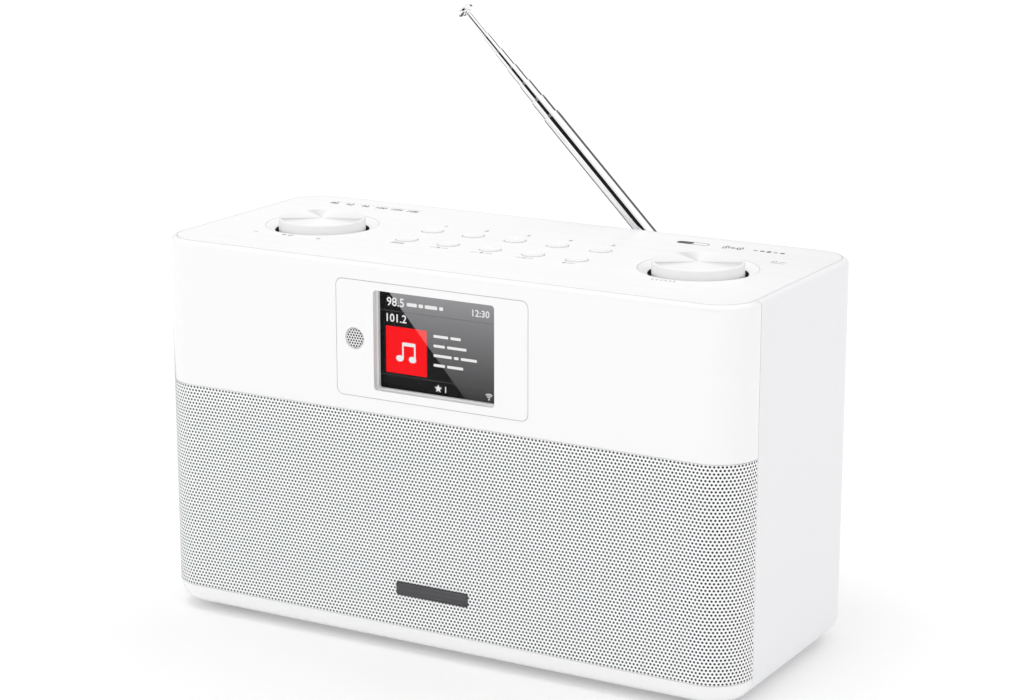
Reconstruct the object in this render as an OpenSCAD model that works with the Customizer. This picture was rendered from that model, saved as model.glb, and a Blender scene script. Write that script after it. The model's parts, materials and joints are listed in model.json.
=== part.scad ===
// Tabletop radio with a colour display, two knobs, ten buttons and a telescopic aerial.
// Millimetres. Z is up, the front faces -Y, and the origin is the middle of the footprint on the table.

/* [Body] */
// Width of the body
body_w = 280; // [276:1:296]
// Depth of the body
body_d = 120; // [116:1:128]
// Height of the body without its feet
body_h = 166; // [164:1:172]
// Height of the rubber feet
foot_h = 2.5; // [2:0.5:5]

/* [Controls] */
// Diameter of the knobs
knob_d = 38.6; // [36:0.2:39.4]
// How far the knobs stand above the top plate
knob_up = 3; // [2:0.5:5]
// Diameter of the buttons
button_d = 9.4; // [9:0.2:11]
// How far the buttons stand above the top plate
button_up = 0.7; // [0.5:0.1:1.2]
// Spacing of the buttons along a row
button_gap = 20.8; // [19:0.2:21]

/* [Aerial] */
// Lean of the aerial to the left, in degrees
aerial_lean = 45; // [0:1:90]
// How far each thin tube of the aerial is drawn out
drawn_out = 9.6; // [2:0.1:14]

/* [Hidden] */
corner_r = 18;
wall = 2.5;
rim_r = 2.5;
hem_r = 10;
half_w = body_w / 2;
aerial_out = 8;
y_front = -(body_d + aerial_out + 4) / 2;
y_rear = y_front + body_d;
y_mid = (y_front + y_rear) / 2;
y_seam = y_front + corner_r;
seam_gap = 0.3;
z_floor = foot_h;
z_top = foot_h + body_h;
run_w = body_w - 2 * corner_r;
grille_z0 = z_floor + hem_r;
grille_z1 = z_floor + 102;
grille_t = 0.8;
plate_t = 2.5;
plate_in = 2.9;
z_plate = z_top - plate_t;
bezel_z = z_floor + 133.5;
bezel_size = [91.8, 49.8];
window_size = [58, 42.8];
window_at = [1.3, bezel_z + 0.1];
sensor_at = [-37, bezel_z - 0.1];
knob_x = 92.4;
dish_r = 25.2;
well_r = 20.9;
z_well = z_top - 9;
board_z = z_well - 10.1;
switch_top = board_z + 5;
knob_push = 1;
button_push = 0.6;
driver_x = 80;
driver_z = z_floor + 56;
y_baffle = y_front + 3.3;
baffle_t = 4;
main_z = z_floor + 13;
port_z = main_z + 7.6;
panel_size = [241.4, 147.4];
panel_z = z_floor + 84.5;
pivot = [72, y_rear + aerial_out, z_floor + 125.1];
pivot_up = 9;
tube_r = [3.9, 3.35, 2.85, 2.4, 2, 1.6, 1.2];
tube_gap = 0.08;
tube_1_end = 121.9;
tube_len = [tube_1_end - pivot_up, 109.5, 107.5, 105.5, 103.5, 101.5, 101];
boss_xz = [for (x = [-113, -34, 34, 113], z = [19, 97.5]) [x, z_floor + z]];
holder_xz = [for (x = [-52.5, 52.5], z = [-8, 8]) [x, bezel_z + z]];
post_xy = [for (x = [-56, 56], y = [-15, 15]) [x, y_mid + y]];
main_xy = [for (x = [-54, 54], y = [-12, 30]) [x, y]];
rear_xz = [for (p = [[-116, -69], [-116, 69], [0, 69], [116, 69], [116, -69]]) [p[0], panel_z + p[1]]];

$fn = 64;

// Flat shapes

module rounded(size, r) {
    square([size[0] - 2 * r, size[1]], center = true);
    square([size[0], size[1] - 2 * r], center = true);
    for (x = [-1, 1], y = [-1, 1])
        translate([x * (size[0] / 2 - r), y * (size[1] / 2 - r)])
            circle(r);
}

// Outline of the wall in section: x runs inwards from the outer face and y is the height.
module wall_outside() {
    intersection() {
        translate([0, z_floor])
            square([corner_r, body_h]);
        union() {
            translate([0, z_floor + hem_r])
                square([corner_r, body_h - hem_r - rim_r]);
            translate([rim_r, z_top - rim_r - 1])
                square([corner_r, rim_r + 1]);
            translate([hem_r, z_floor])
                square([corner_r, hem_r + 1]);
            translate([hem_r, z_floor + hem_r])
                circle(hem_r);
            translate([rim_r, z_top - rim_r])
                circle(rim_r);
        }
    }
}

module wall_inside() {
    translate([wall, z_floor + hem_r])
        square([corner_r, body_h]);
    translate([hem_r, z_floor + wall])
        square([corner_r, hem_r]);
    translate([hem_r, z_floor + hem_r])
        circle(hem_r - wall);
}

module wall_section() {
    difference() {
        wall_outside();
        wall_inside();
    }
    translate([wall - 0.5, z_plate - 2.2])
        square([5, 2.2]);
    translate([wall - 0.5, z_plate - 1])
        square([plate_in - seam_gap - wall + 0.5, plate_t + 1]);
}

module cover_section() {
    difference() {
        union() {
            wall_section();
            translate([grille_t + 0.2, grille_z0 - 1])
                square([2, grille_z1 - grille_z0 + 2]);
        }
        translate([-1, grille_z0 - 0.15])
            square([grille_t + 1.2, grille_z1 - grille_z0 + 0.3]);
    }
}

module grille_section() {
    translate([0, grille_z0])
        square([grille_t, grille_z1 - grille_z0]);
}

// Placing

// Sweeps a wall section round one corner; turn is the start of the quarter in degrees.
module corner(x, y, turn) {
    translate([x, y, 0])
        rotate([0, 0, turn])
            rotate_extrude(angle = 90)
                translate([corner_r, 0])
                    mirror([1, 0])
                        children();
}

// Sweeps a wall section across the front and round both front corners.
module round_front() {
    corner(-run_w / 2, y_seam, 180)
        children();
    corner(run_w / 2, y_seam, 270)
        children();
    translate([-run_w / 2, y_front, 0])
        rotate([90, 0, 90])
            linear_extrude(run_w)
                children();
}

// Extrudes a shape drawn in X and Z from y0 to y1.
module across(y0, y1) {
    translate([0, y1, 0])
        rotate([90, 0, 0])
            linear_extrude(y1 - y0)
                children();
}

// A rod along Y from y0 to y1.
module rod_y(x, z, r, y0, y1) {
    across(y0, y1)
        translate([x, z])
            circle(r);
}

module rod_z(x, y, r, z0, z1) {
    translate([x, y, z0])
        cylinder(r = r, h = z1 - z0);
}

module block(low, high) {
    translate(low)
        cube(high - low);
}

// Pan head screw pointing along +Z from the underside of its head.
module screw(head_r, head_h, r, length) {
    translate([0, 0, -head_h])
        cylinder(r = head_r, h = head_h);
    translate([0, 0, -0.5])
        cylinder(r = r, h = length + 0.5);
}

module at_driver(side) {
    translate([side * driver_x, y_baffle + baffle_t, driver_z])
        rotate([-90, 0, 0])
            children();
}

// The aerial's own frame: Z runs out along the tubes and the pivot is the origin.
module at_aerial() {
    translate(pivot)
        rotate([0, -aerial_lean, 0])
            children();
}

// Enclosure

module cabinet() {
    color("#ebebee")
        difference() {
            union() {
                for (side = [0, 1])
                    mirror([side, 0, 0]) {
                        translate([-half_w, y_rear - corner_r, 0])
                            rotate([90, 0, 0])
                                linear_extrude(body_d - 2 * corner_r - seam_gap)
                                    wall_section();
                        corner(run_w / 2, y_rear - corner_r, 0)
                            wall_section();
                    }
                translate([-run_w / 2, y_rear, 0])
                    mirror([0, 1, 0])
                        rotate([90, 0, 90])
                            linear_extrude(run_w)
                                wall_section();
                block([-run_w / 2 - 1, y_seam + seam_gap, z_floor],
                    [run_w / 2 + 1, y_rear - corner_r + 1, z_floor + wall]);
                across(y_rear - 5, y_rear - wall + 0.5)
                    translate([0, panel_z])
                        rounded([run_w, panel_size[1] + 6], 8);
                for (p = main_xy)
                    rod_z(p[0], p[1], 3.5, z_floor + 1, main_z);
                for (p = rear_xz)
                    rod_y(p[0], p[1], 4, y_rear - 12, y_rear - 3);
            }
            across(y_rear - 6, y_rear + 1)
                difference() {
                    translate([0, panel_z])
                        rounded([panel_size[0] - 6, panel_size[1] - 6], 6);
                    for (p = rear_xz)
                        translate(p)
                            circle(4.5);
                }
            across(y_rear - wall, y_rear + 1)
                translate([0, panel_z])
                    rounded([panel_size[0] + 0.6, panel_size[1] + 0.6], 8.3);
            for (p = main_xy)
                rod_z(p[0], p[1], 1.3, z_floor + 4, main_z + 1);
            for (p = rear_xz)
                rod_y(p[0], p[1], 1.3, y_rear - 11, y_rear);
        }
}

module front_cover() {
    color("#fbfbfb")
        difference() {
            union() {
                round_front()
                    cover_section();
                for (p = boss_xz)
                    rod_y(p[0], p[1], 3.4, y_front + 2, y_baffle + baffle_t - 0.1);
                for (p = holder_xz)
                    rod_y(p[0], p[1], 3, y_front + 1.5, y_front + 8.4);
                for (side = [-1, 1], z = [22, 50, 78])
                    translate([side * (half_w - 3.5), y_seam + 2, z_floor + z])
                        cube([1.8, 10, 10], center = true);
            }
            across(y_front - 1, y_front + wall + 1)
                translate([0, bezel_z])
                    rounded(bezel_size + [0.5, 0.5], 3.2);
            for (side = [-1, 1])
                rod_y(side * driver_x, driver_z, 34, y_front - 1, y_front + 3.2);
            for (p = boss_xz)
                rod_y(p[0], p[1], 1.45, y_front + 2.2, y_front + 8);
            for (p = holder_xz)
                rod_y(p[0], p[1], 1.3, y_front + 2, y_front + 9);
        }
}

module grille() {
    color("#f4f4f4")
        round_front()
            grille_section();
}

module grille_cloth() {
    color("#1c1c1e")
        round_front()
            translate([grille_t + 0.03, grille_z0 + 0.3])
                square([0.14, grille_z1 - grille_z0 - 0.6]);
}

module top_plate() {
    color("#f6f6f6")
        difference() {
            union() {
                translate([0, y_mid, z_plate])
                    linear_extrude(plate_t)
                        rounded([body_w, body_d] - [2, 2] * plate_in, corner_r - plate_in);
                for (side = [-1, 1])
                    rod_z(side * knob_x, y_mid, well_r + 1.8, z_well - 1.8, z_plate + 1);
                for (p = post_xy)
                    rod_z(p[0], p[1], 3.2, board_z + 1.6, z_plate + 1);
            }
            for (side = [-1, 1])
                translate([side * knob_x, y_mid, 0])
                    well_space();
            for (i = [-2:2], row = [-1, 1])
                rod_z(i * button_gap, y_mid + row * 10.6, button_d / 2 + 0.3, z_plate - 1, z_top + 1);
            for (p = post_xy)
                rod_z(p[0], p[1], 1.3, board_z + 1, board_z + 11);
        }
}

// Everything that is open in a knob dish, down to the hole for the encoder's bushing.
module well_space() {
    rotate_extrude()
        polygon([[0, z_well - 3], [3.7, z_well - 3], [3.7, z_well], [well_r, z_well],
            [well_r, z_top - 2.2], [dish_r, z_top], [dish_r, z_top + 1], [0, z_top + 1]]);
}

module rear_panel() {
    color("#dcdce0")
        difference() {
            across(y_rear - wall, y_rear)
                translate([0, panel_z])
                    rounded(panel_size, 8);
            for (x = [-1, 1], i = [-4:4])
                across(y_rear - wall - 1, y_rear + 1)
                    translate([x * 74 + i * 7, z_floor + 62])
                        square([2.4, 34], center = true);
            rod_y(pivot[0], pivot[2], 3.08, y_rear - 4, y_rear + 1);
            across(y_rear - wall - 1, y_rear + 1)
                translate([-30.5, port_z])
                    rounded([40, 11], 1.5);
            for (p = rear_xz)
                rod_y(p[0], p[1], 1.7, y_rear - 4, y_rear + 1);
            for (p = rear_xz)
                rod_y(p[0], p[1], 3.2, y_rear - 1.2, y_rear + 1);
        }
}

module rear_screws() {
    color("#8f8f94")
        for (p = rear_xz)
            translate([p[0], y_rear - 1.2, p[1]])
                rotate([90, 0, 0])
                    difference() {
                        screw(2.9, 1, 1.25, 9);
                        translate([0, 0, -2])
                            cylinder(r = 1.2, h = 1.5, $fn = 6);
                    }
}

module feet() {
    color("#2a2a2c")
        for (x = [-1, 1], y = [y_front + 24, y_rear - 22])
            rod_z(x * 112, y, 8, 0, z_floor);
}

// Display

module bezel() {
    color("#fafafa")
        difference() {
            union() {
                across(y_front, y_front + 4.6)
                    translate([0, bezel_z])
                        rounded(bezel_size, 3);
                across(y_front + wall + 0.1, y_front + 4.6)
                    translate([0, bezel_z])
                        rounded(bezel_size + [4, 3], 3);
            }
            across(y_front - 1, y_front + 6)
                translate(window_at)
                    rounded(window_size, 1.5);
            rod_y(sensor_at[0], sensor_at[1], 4.7, y_front - 1, y_front + 1);
        }
}

module display_window() {
    color("#20242a", 0.4)
        across(y_front + 4.7, y_front + 5.7)
            translate(window_at)
                square(window_size + [5, 4], center = true);
}

module display_panel() {
    color("#1c2030")
        across(y_front + 5.9, y_front + 8.5)
            translate(window_at)
                square([69, 49], center = true);
}

module display_holder() {
    color("#c9c9cc")
        difference() {
            union() {
                across(y_front + 4.8, y_front + 10.5)
                    translate(window_at)
                        square([72.4, 52], center = true);
                across(y_front + 8.5, y_front + 10.5)
                    translate([0, bezel_z])
                        square([112, 24], center = true);
            }
            across(y_front + 4, y_front + 8.7)
                translate(window_at)
                    square([69.4, 49.4], center = true);
            across(y_front + 8, y_front + 11)
                translate([window_at[0], bezel_z - 18])
                    square([30, 6], center = true);
            for (p = holder_xz)
                rod_y(p[0], p[1], 1.5, y_front + 8, y_front + 11);
        }
}

module sensor_mesh() {
    color("#3a3a3e")
        rod_y(sensor_at[0], sensor_at[1], 4.55, y_front + 0.3, y_front + 0.9);
}

module badge() {
    color("#26262a")
        across(y_front - 0.6, y_front)
            translate([0, z_floor + 27])
                rounded([35, 6], 1);
}

// Controls

module knob(side) {
    low = z_top - 7.5;
    high = z_top + knob_up;
    r = knob_d / 2;
    color("#f8f8f8")
        translate([side * knob_x, y_mid, 0])
            rotate_extrude()
                difference() {
                    polygon([[0, low + 2.2], [5.2, low + 2.2], [5.2, high - 1.8], [r - 1.6, high - 1.8],
                        [r - 1.6, low], [r, low], [r, high - 0.4], [r - 0.4, high], [0, high]]);
                    translate([-1, low])
                        square([4.02, 7.8]);
                }
}

module encoder(side) {
    color("#9a9aa0")
        translate([side * knob_x, y_mid, 0])
            difference() {
                union() {
                    translate([-6.5, -6.25, board_z + 1.6])
                        cube([13, 12.5, 6.5]);
                    rod_z(0, 0, 3.45, board_z + 8, z_well + 2.4);
                }
                rod_z(0, 0, 3.05, board_z + 3, z_well + 3);
                rod_z(0, 0, 5.4, board_z + 2.4, board_z + 6.8);
            }
}

module encoder_nuts() {
    color("#c8c8cc")
        for (side = [-1, 1])
            translate([side * knob_x, y_mid, z_well])
                difference() {
                    cylinder(r = 5.6, h = 2, $fn = 6);
                    translate([0, 0, -1])
                        cylinder(r = 3.5, h = 4);
                }
}

module shaft(side) {
    color("#d2d2d6")
        rod_z(side * knob_x, y_mid, 2.97, board_z + 4.2, z_top + 0.2);
}

module slider(side) {
    color("#e6e0d0")
        translate([side * knob_x, y_mid, board_z + 4.2])
            difference() {
                cylinder(r = 5, h = 2);
                translate([0, 0, -1])
                    cylinder(r = 3.03, h = 4);
            }
}

// Buttons count along the rear row from the left, then along the front row.
module button(n) {
    row = n <= 5 ? 1 : -1;
    r = button_d / 2;
    high = z_top + button_up;
    color("#fafafa")
        translate([((n - 1) % 5 - 2) * button_gap, y_mid + row * 10.6, 0])
            difference() {
                rotate_extrude()
                    polygon([[0, switch_top + 0.8], [1.9, switch_top + 0.8], [1.9, z_plate - 1.4],
                        [r + 1, z_plate - 1.4], [r + 1, z_plate - 0.1], [r, z_plate - 0.1],
                        [r, high - 0.3], [r - 0.3, high], [0, high]]);
                translate([0, 0, high + 25 - 0.3])
                    sphere(25, $fn = 96);
            }
}

module key_switches() {
    color("#303034")
        for (i = [-2:2], row = [-1, 1])
            translate([i * button_gap, y_mid + row * 10.6, board_z + 1.6]) {
                translate([-3.1, -3.1, 0])
                    cube([6.2, 6.2, 2.4]);
                cylinder(r = 1.75, h = switch_top - board_z - 1.6);
            }
}

// Electronics

module control_board() {
    color("#1f5a36")
        difference() {
            block([-106, y_mid - 20, board_z], [106, y_mid + 20, board_z + 1.6]);
            for (p = post_xy)
                rod_z(p[0], p[1], 1.5, board_z - 1, board_z + 3);
        }
}

module main_board() {
    color("#1f5a36")
        difference() {
            block([-60, -18, main_z], [60, y_rear - 6, main_z + 1.6]);
            for (p = main_xy)
                rod_z(p[0], p[1], 1.5, main_z - 1, main_z + 3);
        }
}

module inner_screws() {
    color("#a8a8ad") {
        for (p = boss_xz)
            translate([p[0], y_baffle + baffle_t, p[1]])
                rotate([90, 0, 0])
                    screw(4.4, 1.6, 1.4, 4.6);
        for (p = holder_xz)
            translate([p[0], y_front + 10.5, p[1]])
                rotate([90, 0, 0])
                    screw(2.6, 1.6, 1.25, 7.5);
        for (p = post_xy)
            translate([p[0], p[1], board_z])
                screw(2.6, 1.6, 1.25, 8);
        for (p = main_xy)
            translate([p[0], p[1], main_z + 1.6])
                rotate([180, 0, 0])
                    screw(2.6, 1.6, 1.25, 8);
        for (side = [-1, 1], turn = [45:90:315])
            at_driver(side)
                translate([36.3 * cos(turn), 36.3 * sin(turn), 2])
                    rotate([180, 0, 0])
                        screw(2.3, 1.6, 1.25, 4.5);
    }
}

module radio_module() {
    color("#bfc1c6")
        difference() {
            block([10, 4, main_z + 1.6], [50, 34, main_z + 6.1]);
            block([10.8, 4.8, main_z + 1], [49.2, 33.2, main_z + 5.5]);
        }
}

module heat_sink() {
    color("#2c2c30")
        translate([-48, -12, main_z + 1.6]) {
            cube([30, 12, 2]);
            for (i = [0:6])
                translate([i * 4.7, 0, 1])
                    cube([1.8, 12, 15]);
        }
}

module dc_inlet() {
    color("#1a1a1c")
        difference() {
            union() {
                block([-50, 38, main_z + 1.6], [-36, y_rear - wall - 0.3, main_z + 13.6]);
                rod_y(-43, port_z, 4.5, y_rear - 4, y_rear - 0.2);
            }
            difference() {
                rod_y(-43, port_z, 3.1, y_rear - 11, y_rear + 1);
                rod_y(-43, port_z, 1.05, y_rear - 12, y_rear - 2);
            }
        }
}

module jack(x) {
    color("#1a1a1c")
        difference() {
            union() {
                block([x - 6, 38, main_z + 1.6], [x + 6, y_rear - wall - 0.3, main_z + 13.6]);
                rod_y(x, port_z, 3.3, y_rear - 4, y_rear - 0.2);
            }
            rod_y(x, port_z, 1.8, y_rear - 14.2, y_rear + 1);
        }
}

// Loudspeakers

module baffle() {
    color("#34343a")
        difference() {
            across(y_baffle, y_baffle + baffle_t)
                translate([0, z_floor + 58.25])
                    square([236, 91.5], center = true);
            for (side = [-1, 1])
                rod_y(side * driver_x, driver_z, 34, y_baffle - 1, y_baffle + 5);
            for (p = boss_xz)
                rod_y(p[0], p[1], 3.7, y_baffle - 1, y_baffle + 5);
            for (side = [-1, 1], turn = [45:90:315])
                at_driver(side)
                    translate([36.3 * cos(turn), 36.3 * sin(turn), -3])
                        cylinder(r = 1.3, h = 4);
        }
}

module basket(side) {
    color("#3c3c40")
        at_driver(side)
            difference() {
                rotate_extrude()
                    polygon([[33.2, 0], [39, 0], [39, 2], [33.8, 2], [26, 18], [26, 20], [11, 20],
                        [11, 18.4], [24.8, 18.4], [32.8, 1.2], [33.2, 1.2]]);
                for (turn = [0:60:120])
                    rotate([0, 0, turn])
                        translate([-40, -9, 4])
                            cube([80, 18, 12]);
                for (turn = [45:90:315])
                    translate([36.3 * cos(turn), 36.3 * sin(turn), -1])
                        cylinder(r = 1.6, h = 4);
            }
}

module magnet(side) {
    color("#55555a")
        at_driver(side)
            rotate_extrude()
                polygon([[0, 16], [9, 16], [9, 29], [10.6, 29], [10.6, 20], [27, 20], [27, 29],
                    [25, 29], [25, 32], [0, 32]]);
}

// Paper cone with its rubber surround, dust cap and coil former.
module cone(side) {
    color("#26262a")
        at_driver(side)
            rotate_extrude() {
                difference() {
                    translate([31, 0.4])
                        circle(2.1);
                    translate([31, 0.4])
                        circle(1.5);
                    translate([28, 0.4])
                        square([6, 4]);
                }
                polygon([[28.4, 0.2], [29.6, 0.2], [29.6, 1], [28.9, 1], [10, 13], [10, 22], [9.5, 22],
                    [9.5, 12.2]]);
                difference() {
                    intersection() {
                        translate([0, 22.4])
                            circle(14);
                        square([9.9, 14]);
                    }
                    translate([0, 22.4])
                        circle(13.2);
                }
            }
}

// Aerial

module aerial_swivel() {
    color("#c9cacf") {
        difference() {
            union() {
                rod_y(pivot[0], pivot[2], 8, y_rear + 0.1, y_rear + 3);
                rod_y(pivot[0], pivot[2], 3, y_rear - wall - 1.6, y_rear + 1);
                rod_y(pivot[0], pivot[2], 5, y_rear - wall - 1.6, y_rear - wall - 0.1);
                at_aerial()
                    for (side = [-1, 1])
                        translate([side * 4.2, 0, 0])
                            ear();
            }
            at_aerial()
                rotate([0, 90, 0])
                    cylinder(r = 1.52, h = 20, center = true);
        }
    }
}

module ear() {
    rotate([90, 0, 90])
        linear_extrude(2, center = true) {
            circle(4);
            translate([-5.5, -4])
                square([5.5, 8]);
        }
}

module aerial_pin() {
    color("#8d8e93")
        at_aerial()
            rotate([0, 90, 0])
                cylinder(r = 1.5, h = 10.4, center = true);
}

module aerial_knuckle() {
    color("#c9cacf")
        at_aerial()
            difference() {
                union() {
                    rotate([0, 90, 0])
                        cylinder(r = 3.6, h = 6, center = true);
                    translate([-3, -2.6, 0])
                        cube([6, 5.2, 7]);
                    translate([0, 0, 6])
                        cylinder(r = 3.9, h = pivot_up - 6);
                    translate([0, 0, pivot_up - 0.5])
                        cylinder(r = tube_r[1] + 0.04, h = 3);
                }
                rotate([0, 90, 0])
                    cylinder(r = 1.58, h = 20, center = true);
            }
}

// Tube n of the aerial, counted from the widest. Its outer end stands clear of the tube before it.
function tube_end(n) = tube_1_end + drawn_out * (n - 1) + (n == 7 ? 3 : 0);

module aerial_tube(n) {
    length = tube_len[n - 1];
    bore = n < 7 ? tube_r[n] + tube_gap : 0;
    color("#d8d9dd")
        at_aerial()
            translate([0, 0, tube_end(n) - length])
                difference() {
                    cylinder(r = tube_r[n - 1], h = length);
                    if (bore > 0)
                        translate([0, 0, -1])
                            cylinder(r = bore, h = length + 2);
                }
}

module aerial_cap() {
    color("#d8d9dd")
        at_aerial()
            translate([0, 0, tube_end(7)])
                rotate_extrude()
                    polygon([[0, 0], [2, 0], [2, 0.7], [3.4, 0.7], [3.8, 1.1], [3.8, 2.6], [3.3, 3.1], [0, 3.1]]);
}

cabinet();
front_cover();
grille();
grille_cloth();
top_plate();
bezel();
display_window();
display_panel();
display_holder();
sensor_mesh();
badge();
knob(-1);  // knob_left
knob(1);  // knob_right
encoder(-1);  // encoder_left
encoder(1);  // encoder_right
shaft(-1);  // shaft_left
shaft(1);  // shaft_right
slider(-1);  // slider_left
slider(1);  // slider_right
encoder_nuts();
button(1);  // button_1
button(2);  // button_2
button(3);  // button_3
button(4);  // button_4
button(5);  // button_5
button(6);  // button_6
button(7);  // button_7
button(8);  // button_8
button(9);  // button_9
button(10);  // button_10
key_switches();
control_board();
main_board();
inner_screws();
radio_module();
heat_sink();
dc_inlet();
jack(-29.5);  // aux_jack
jack(-17);  // headphone_jack
baffle();
basket(-1);  // basket_left
basket(1);  // basket_right
magnet(-1);  // magnet_left
magnet(1);  // magnet_right
cone(-1);  // cone_left
cone(1);  // cone_right
rear_panel();
rear_screws();
feet();
aerial_swivel();
aerial_pin();
aerial_knuckle();
aerial_tube(1);  // aerial_tube_1
aerial_tube(2);  // aerial_tube_2
aerial_tube(3);  // aerial_tube_3
aerial_tube(4);  // aerial_tube_4
aerial_tube(5);  // aerial_tube_5
aerial_tube(6);  // aerial_tube_6
aerial_tube(7);  // aerial_tube_7
aerial_cap();
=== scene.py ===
"""Looks of a tabletop radio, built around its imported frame.

Everything is in metres in the part's own frame: Z is up and the front faces -Y.
"""

import json
import logging
import math
from collections.abc import Sequence
from dataclasses import dataclass, field, replace
from enum import Enum

import bpy
import numpy as np
from mathutils import Matrix, Vector


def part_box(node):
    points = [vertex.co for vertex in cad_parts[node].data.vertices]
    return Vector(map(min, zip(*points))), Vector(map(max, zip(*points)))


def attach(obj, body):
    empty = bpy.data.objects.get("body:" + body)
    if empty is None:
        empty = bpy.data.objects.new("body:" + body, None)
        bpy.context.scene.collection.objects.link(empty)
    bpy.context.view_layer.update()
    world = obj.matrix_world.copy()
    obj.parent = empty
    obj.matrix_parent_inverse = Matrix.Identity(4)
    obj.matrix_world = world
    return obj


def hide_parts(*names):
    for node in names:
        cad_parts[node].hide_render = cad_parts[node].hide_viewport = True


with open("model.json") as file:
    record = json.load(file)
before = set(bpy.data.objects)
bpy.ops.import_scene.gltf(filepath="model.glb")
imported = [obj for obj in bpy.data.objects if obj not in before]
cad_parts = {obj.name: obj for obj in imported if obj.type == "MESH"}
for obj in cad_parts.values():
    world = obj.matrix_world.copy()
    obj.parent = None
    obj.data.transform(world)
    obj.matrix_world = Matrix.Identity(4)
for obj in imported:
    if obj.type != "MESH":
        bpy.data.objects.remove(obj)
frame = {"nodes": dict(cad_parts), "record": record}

log = logging.getLogger("radio")
MM = 0.001
Colour = tuple[float, float, float]
Pair = tuple[float, float]
Outline = Sequence[Pair]
WHITE: Colour = (0.95, 0.95, 0.952)
FINE_GRAIN = 0.000004
TURN = 2 * math.pi


def scaled(colour: Colour, by: float) -> Colour:
    """A colour with its three parts multiplied.

    Args:
        colour: The colour.
        by: The factor.

    Returns:
        The lighter or darker colour.
    """
    return tuple(part * by for part in colour)


class Value:
    """A shader socket that takes part in Python arithmetic."""

    def __init__(self, shade: "Shade", socket: bpy.types.NodeSocket) -> None:
        """Keeps the socket and the tree it belongs to.

        Args:
            shade: The material's node tree.
            socket: The output socket to wrap.
        """
        self.shade = shade
        self.socket = socket

    def maths(self, operation: str, *others: "Value | float") -> "Value":
        """Adds a Math node whose first input is this value.

        Args:
            operation: The Math node's operation.
            others: The inputs after the first.

        Returns:
            The node's result.
        """
        return self.shade.maths(operation, self, *others)

    def __add__(self, other: "Value | float") -> "Value":
        """This value plus another."""
        return self.maths("ADD", other)

    def __radd__(self, other: float) -> "Value":
        """A number plus this value."""
        return self.shade.maths("ADD", other, self)

    def __sub__(self, other: "Value | float") -> "Value":
        """This value less another."""
        return self.maths("SUBTRACT", other)

    def __rsub__(self, other: float) -> "Value":
        """A number less this value."""
        return self.shade.maths("SUBTRACT", other, self)

    def __mul__(self, other: "Value | float") -> "Value":
        """This value times another."""
        return self.maths("MULTIPLY", other)

    def __rmul__(self, other: float) -> "Value":
        """A number times this value."""
        return self.shade.maths("MULTIPLY", other, self)

    def __truediv__(self, other: "Value | float") -> "Value":
        """This value divided by another."""
        return self.maths("DIVIDE", other)

    def __pow__(self, other: "Value | float") -> "Value":
        """This value to a power."""
        return self.maths("POWER", other)

    def __gt__(self, other: "Value | float") -> "Value":
        """1 where this value is greater than another."""
        return self.maths("GREATER_THAN", other)

    def __lt__(self, other: "Value | float") -> "Value":
        """1 where this value is less than another."""
        return self.maths("LESS_THAN", other)


Input = Value | float | Sequence[float]


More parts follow.
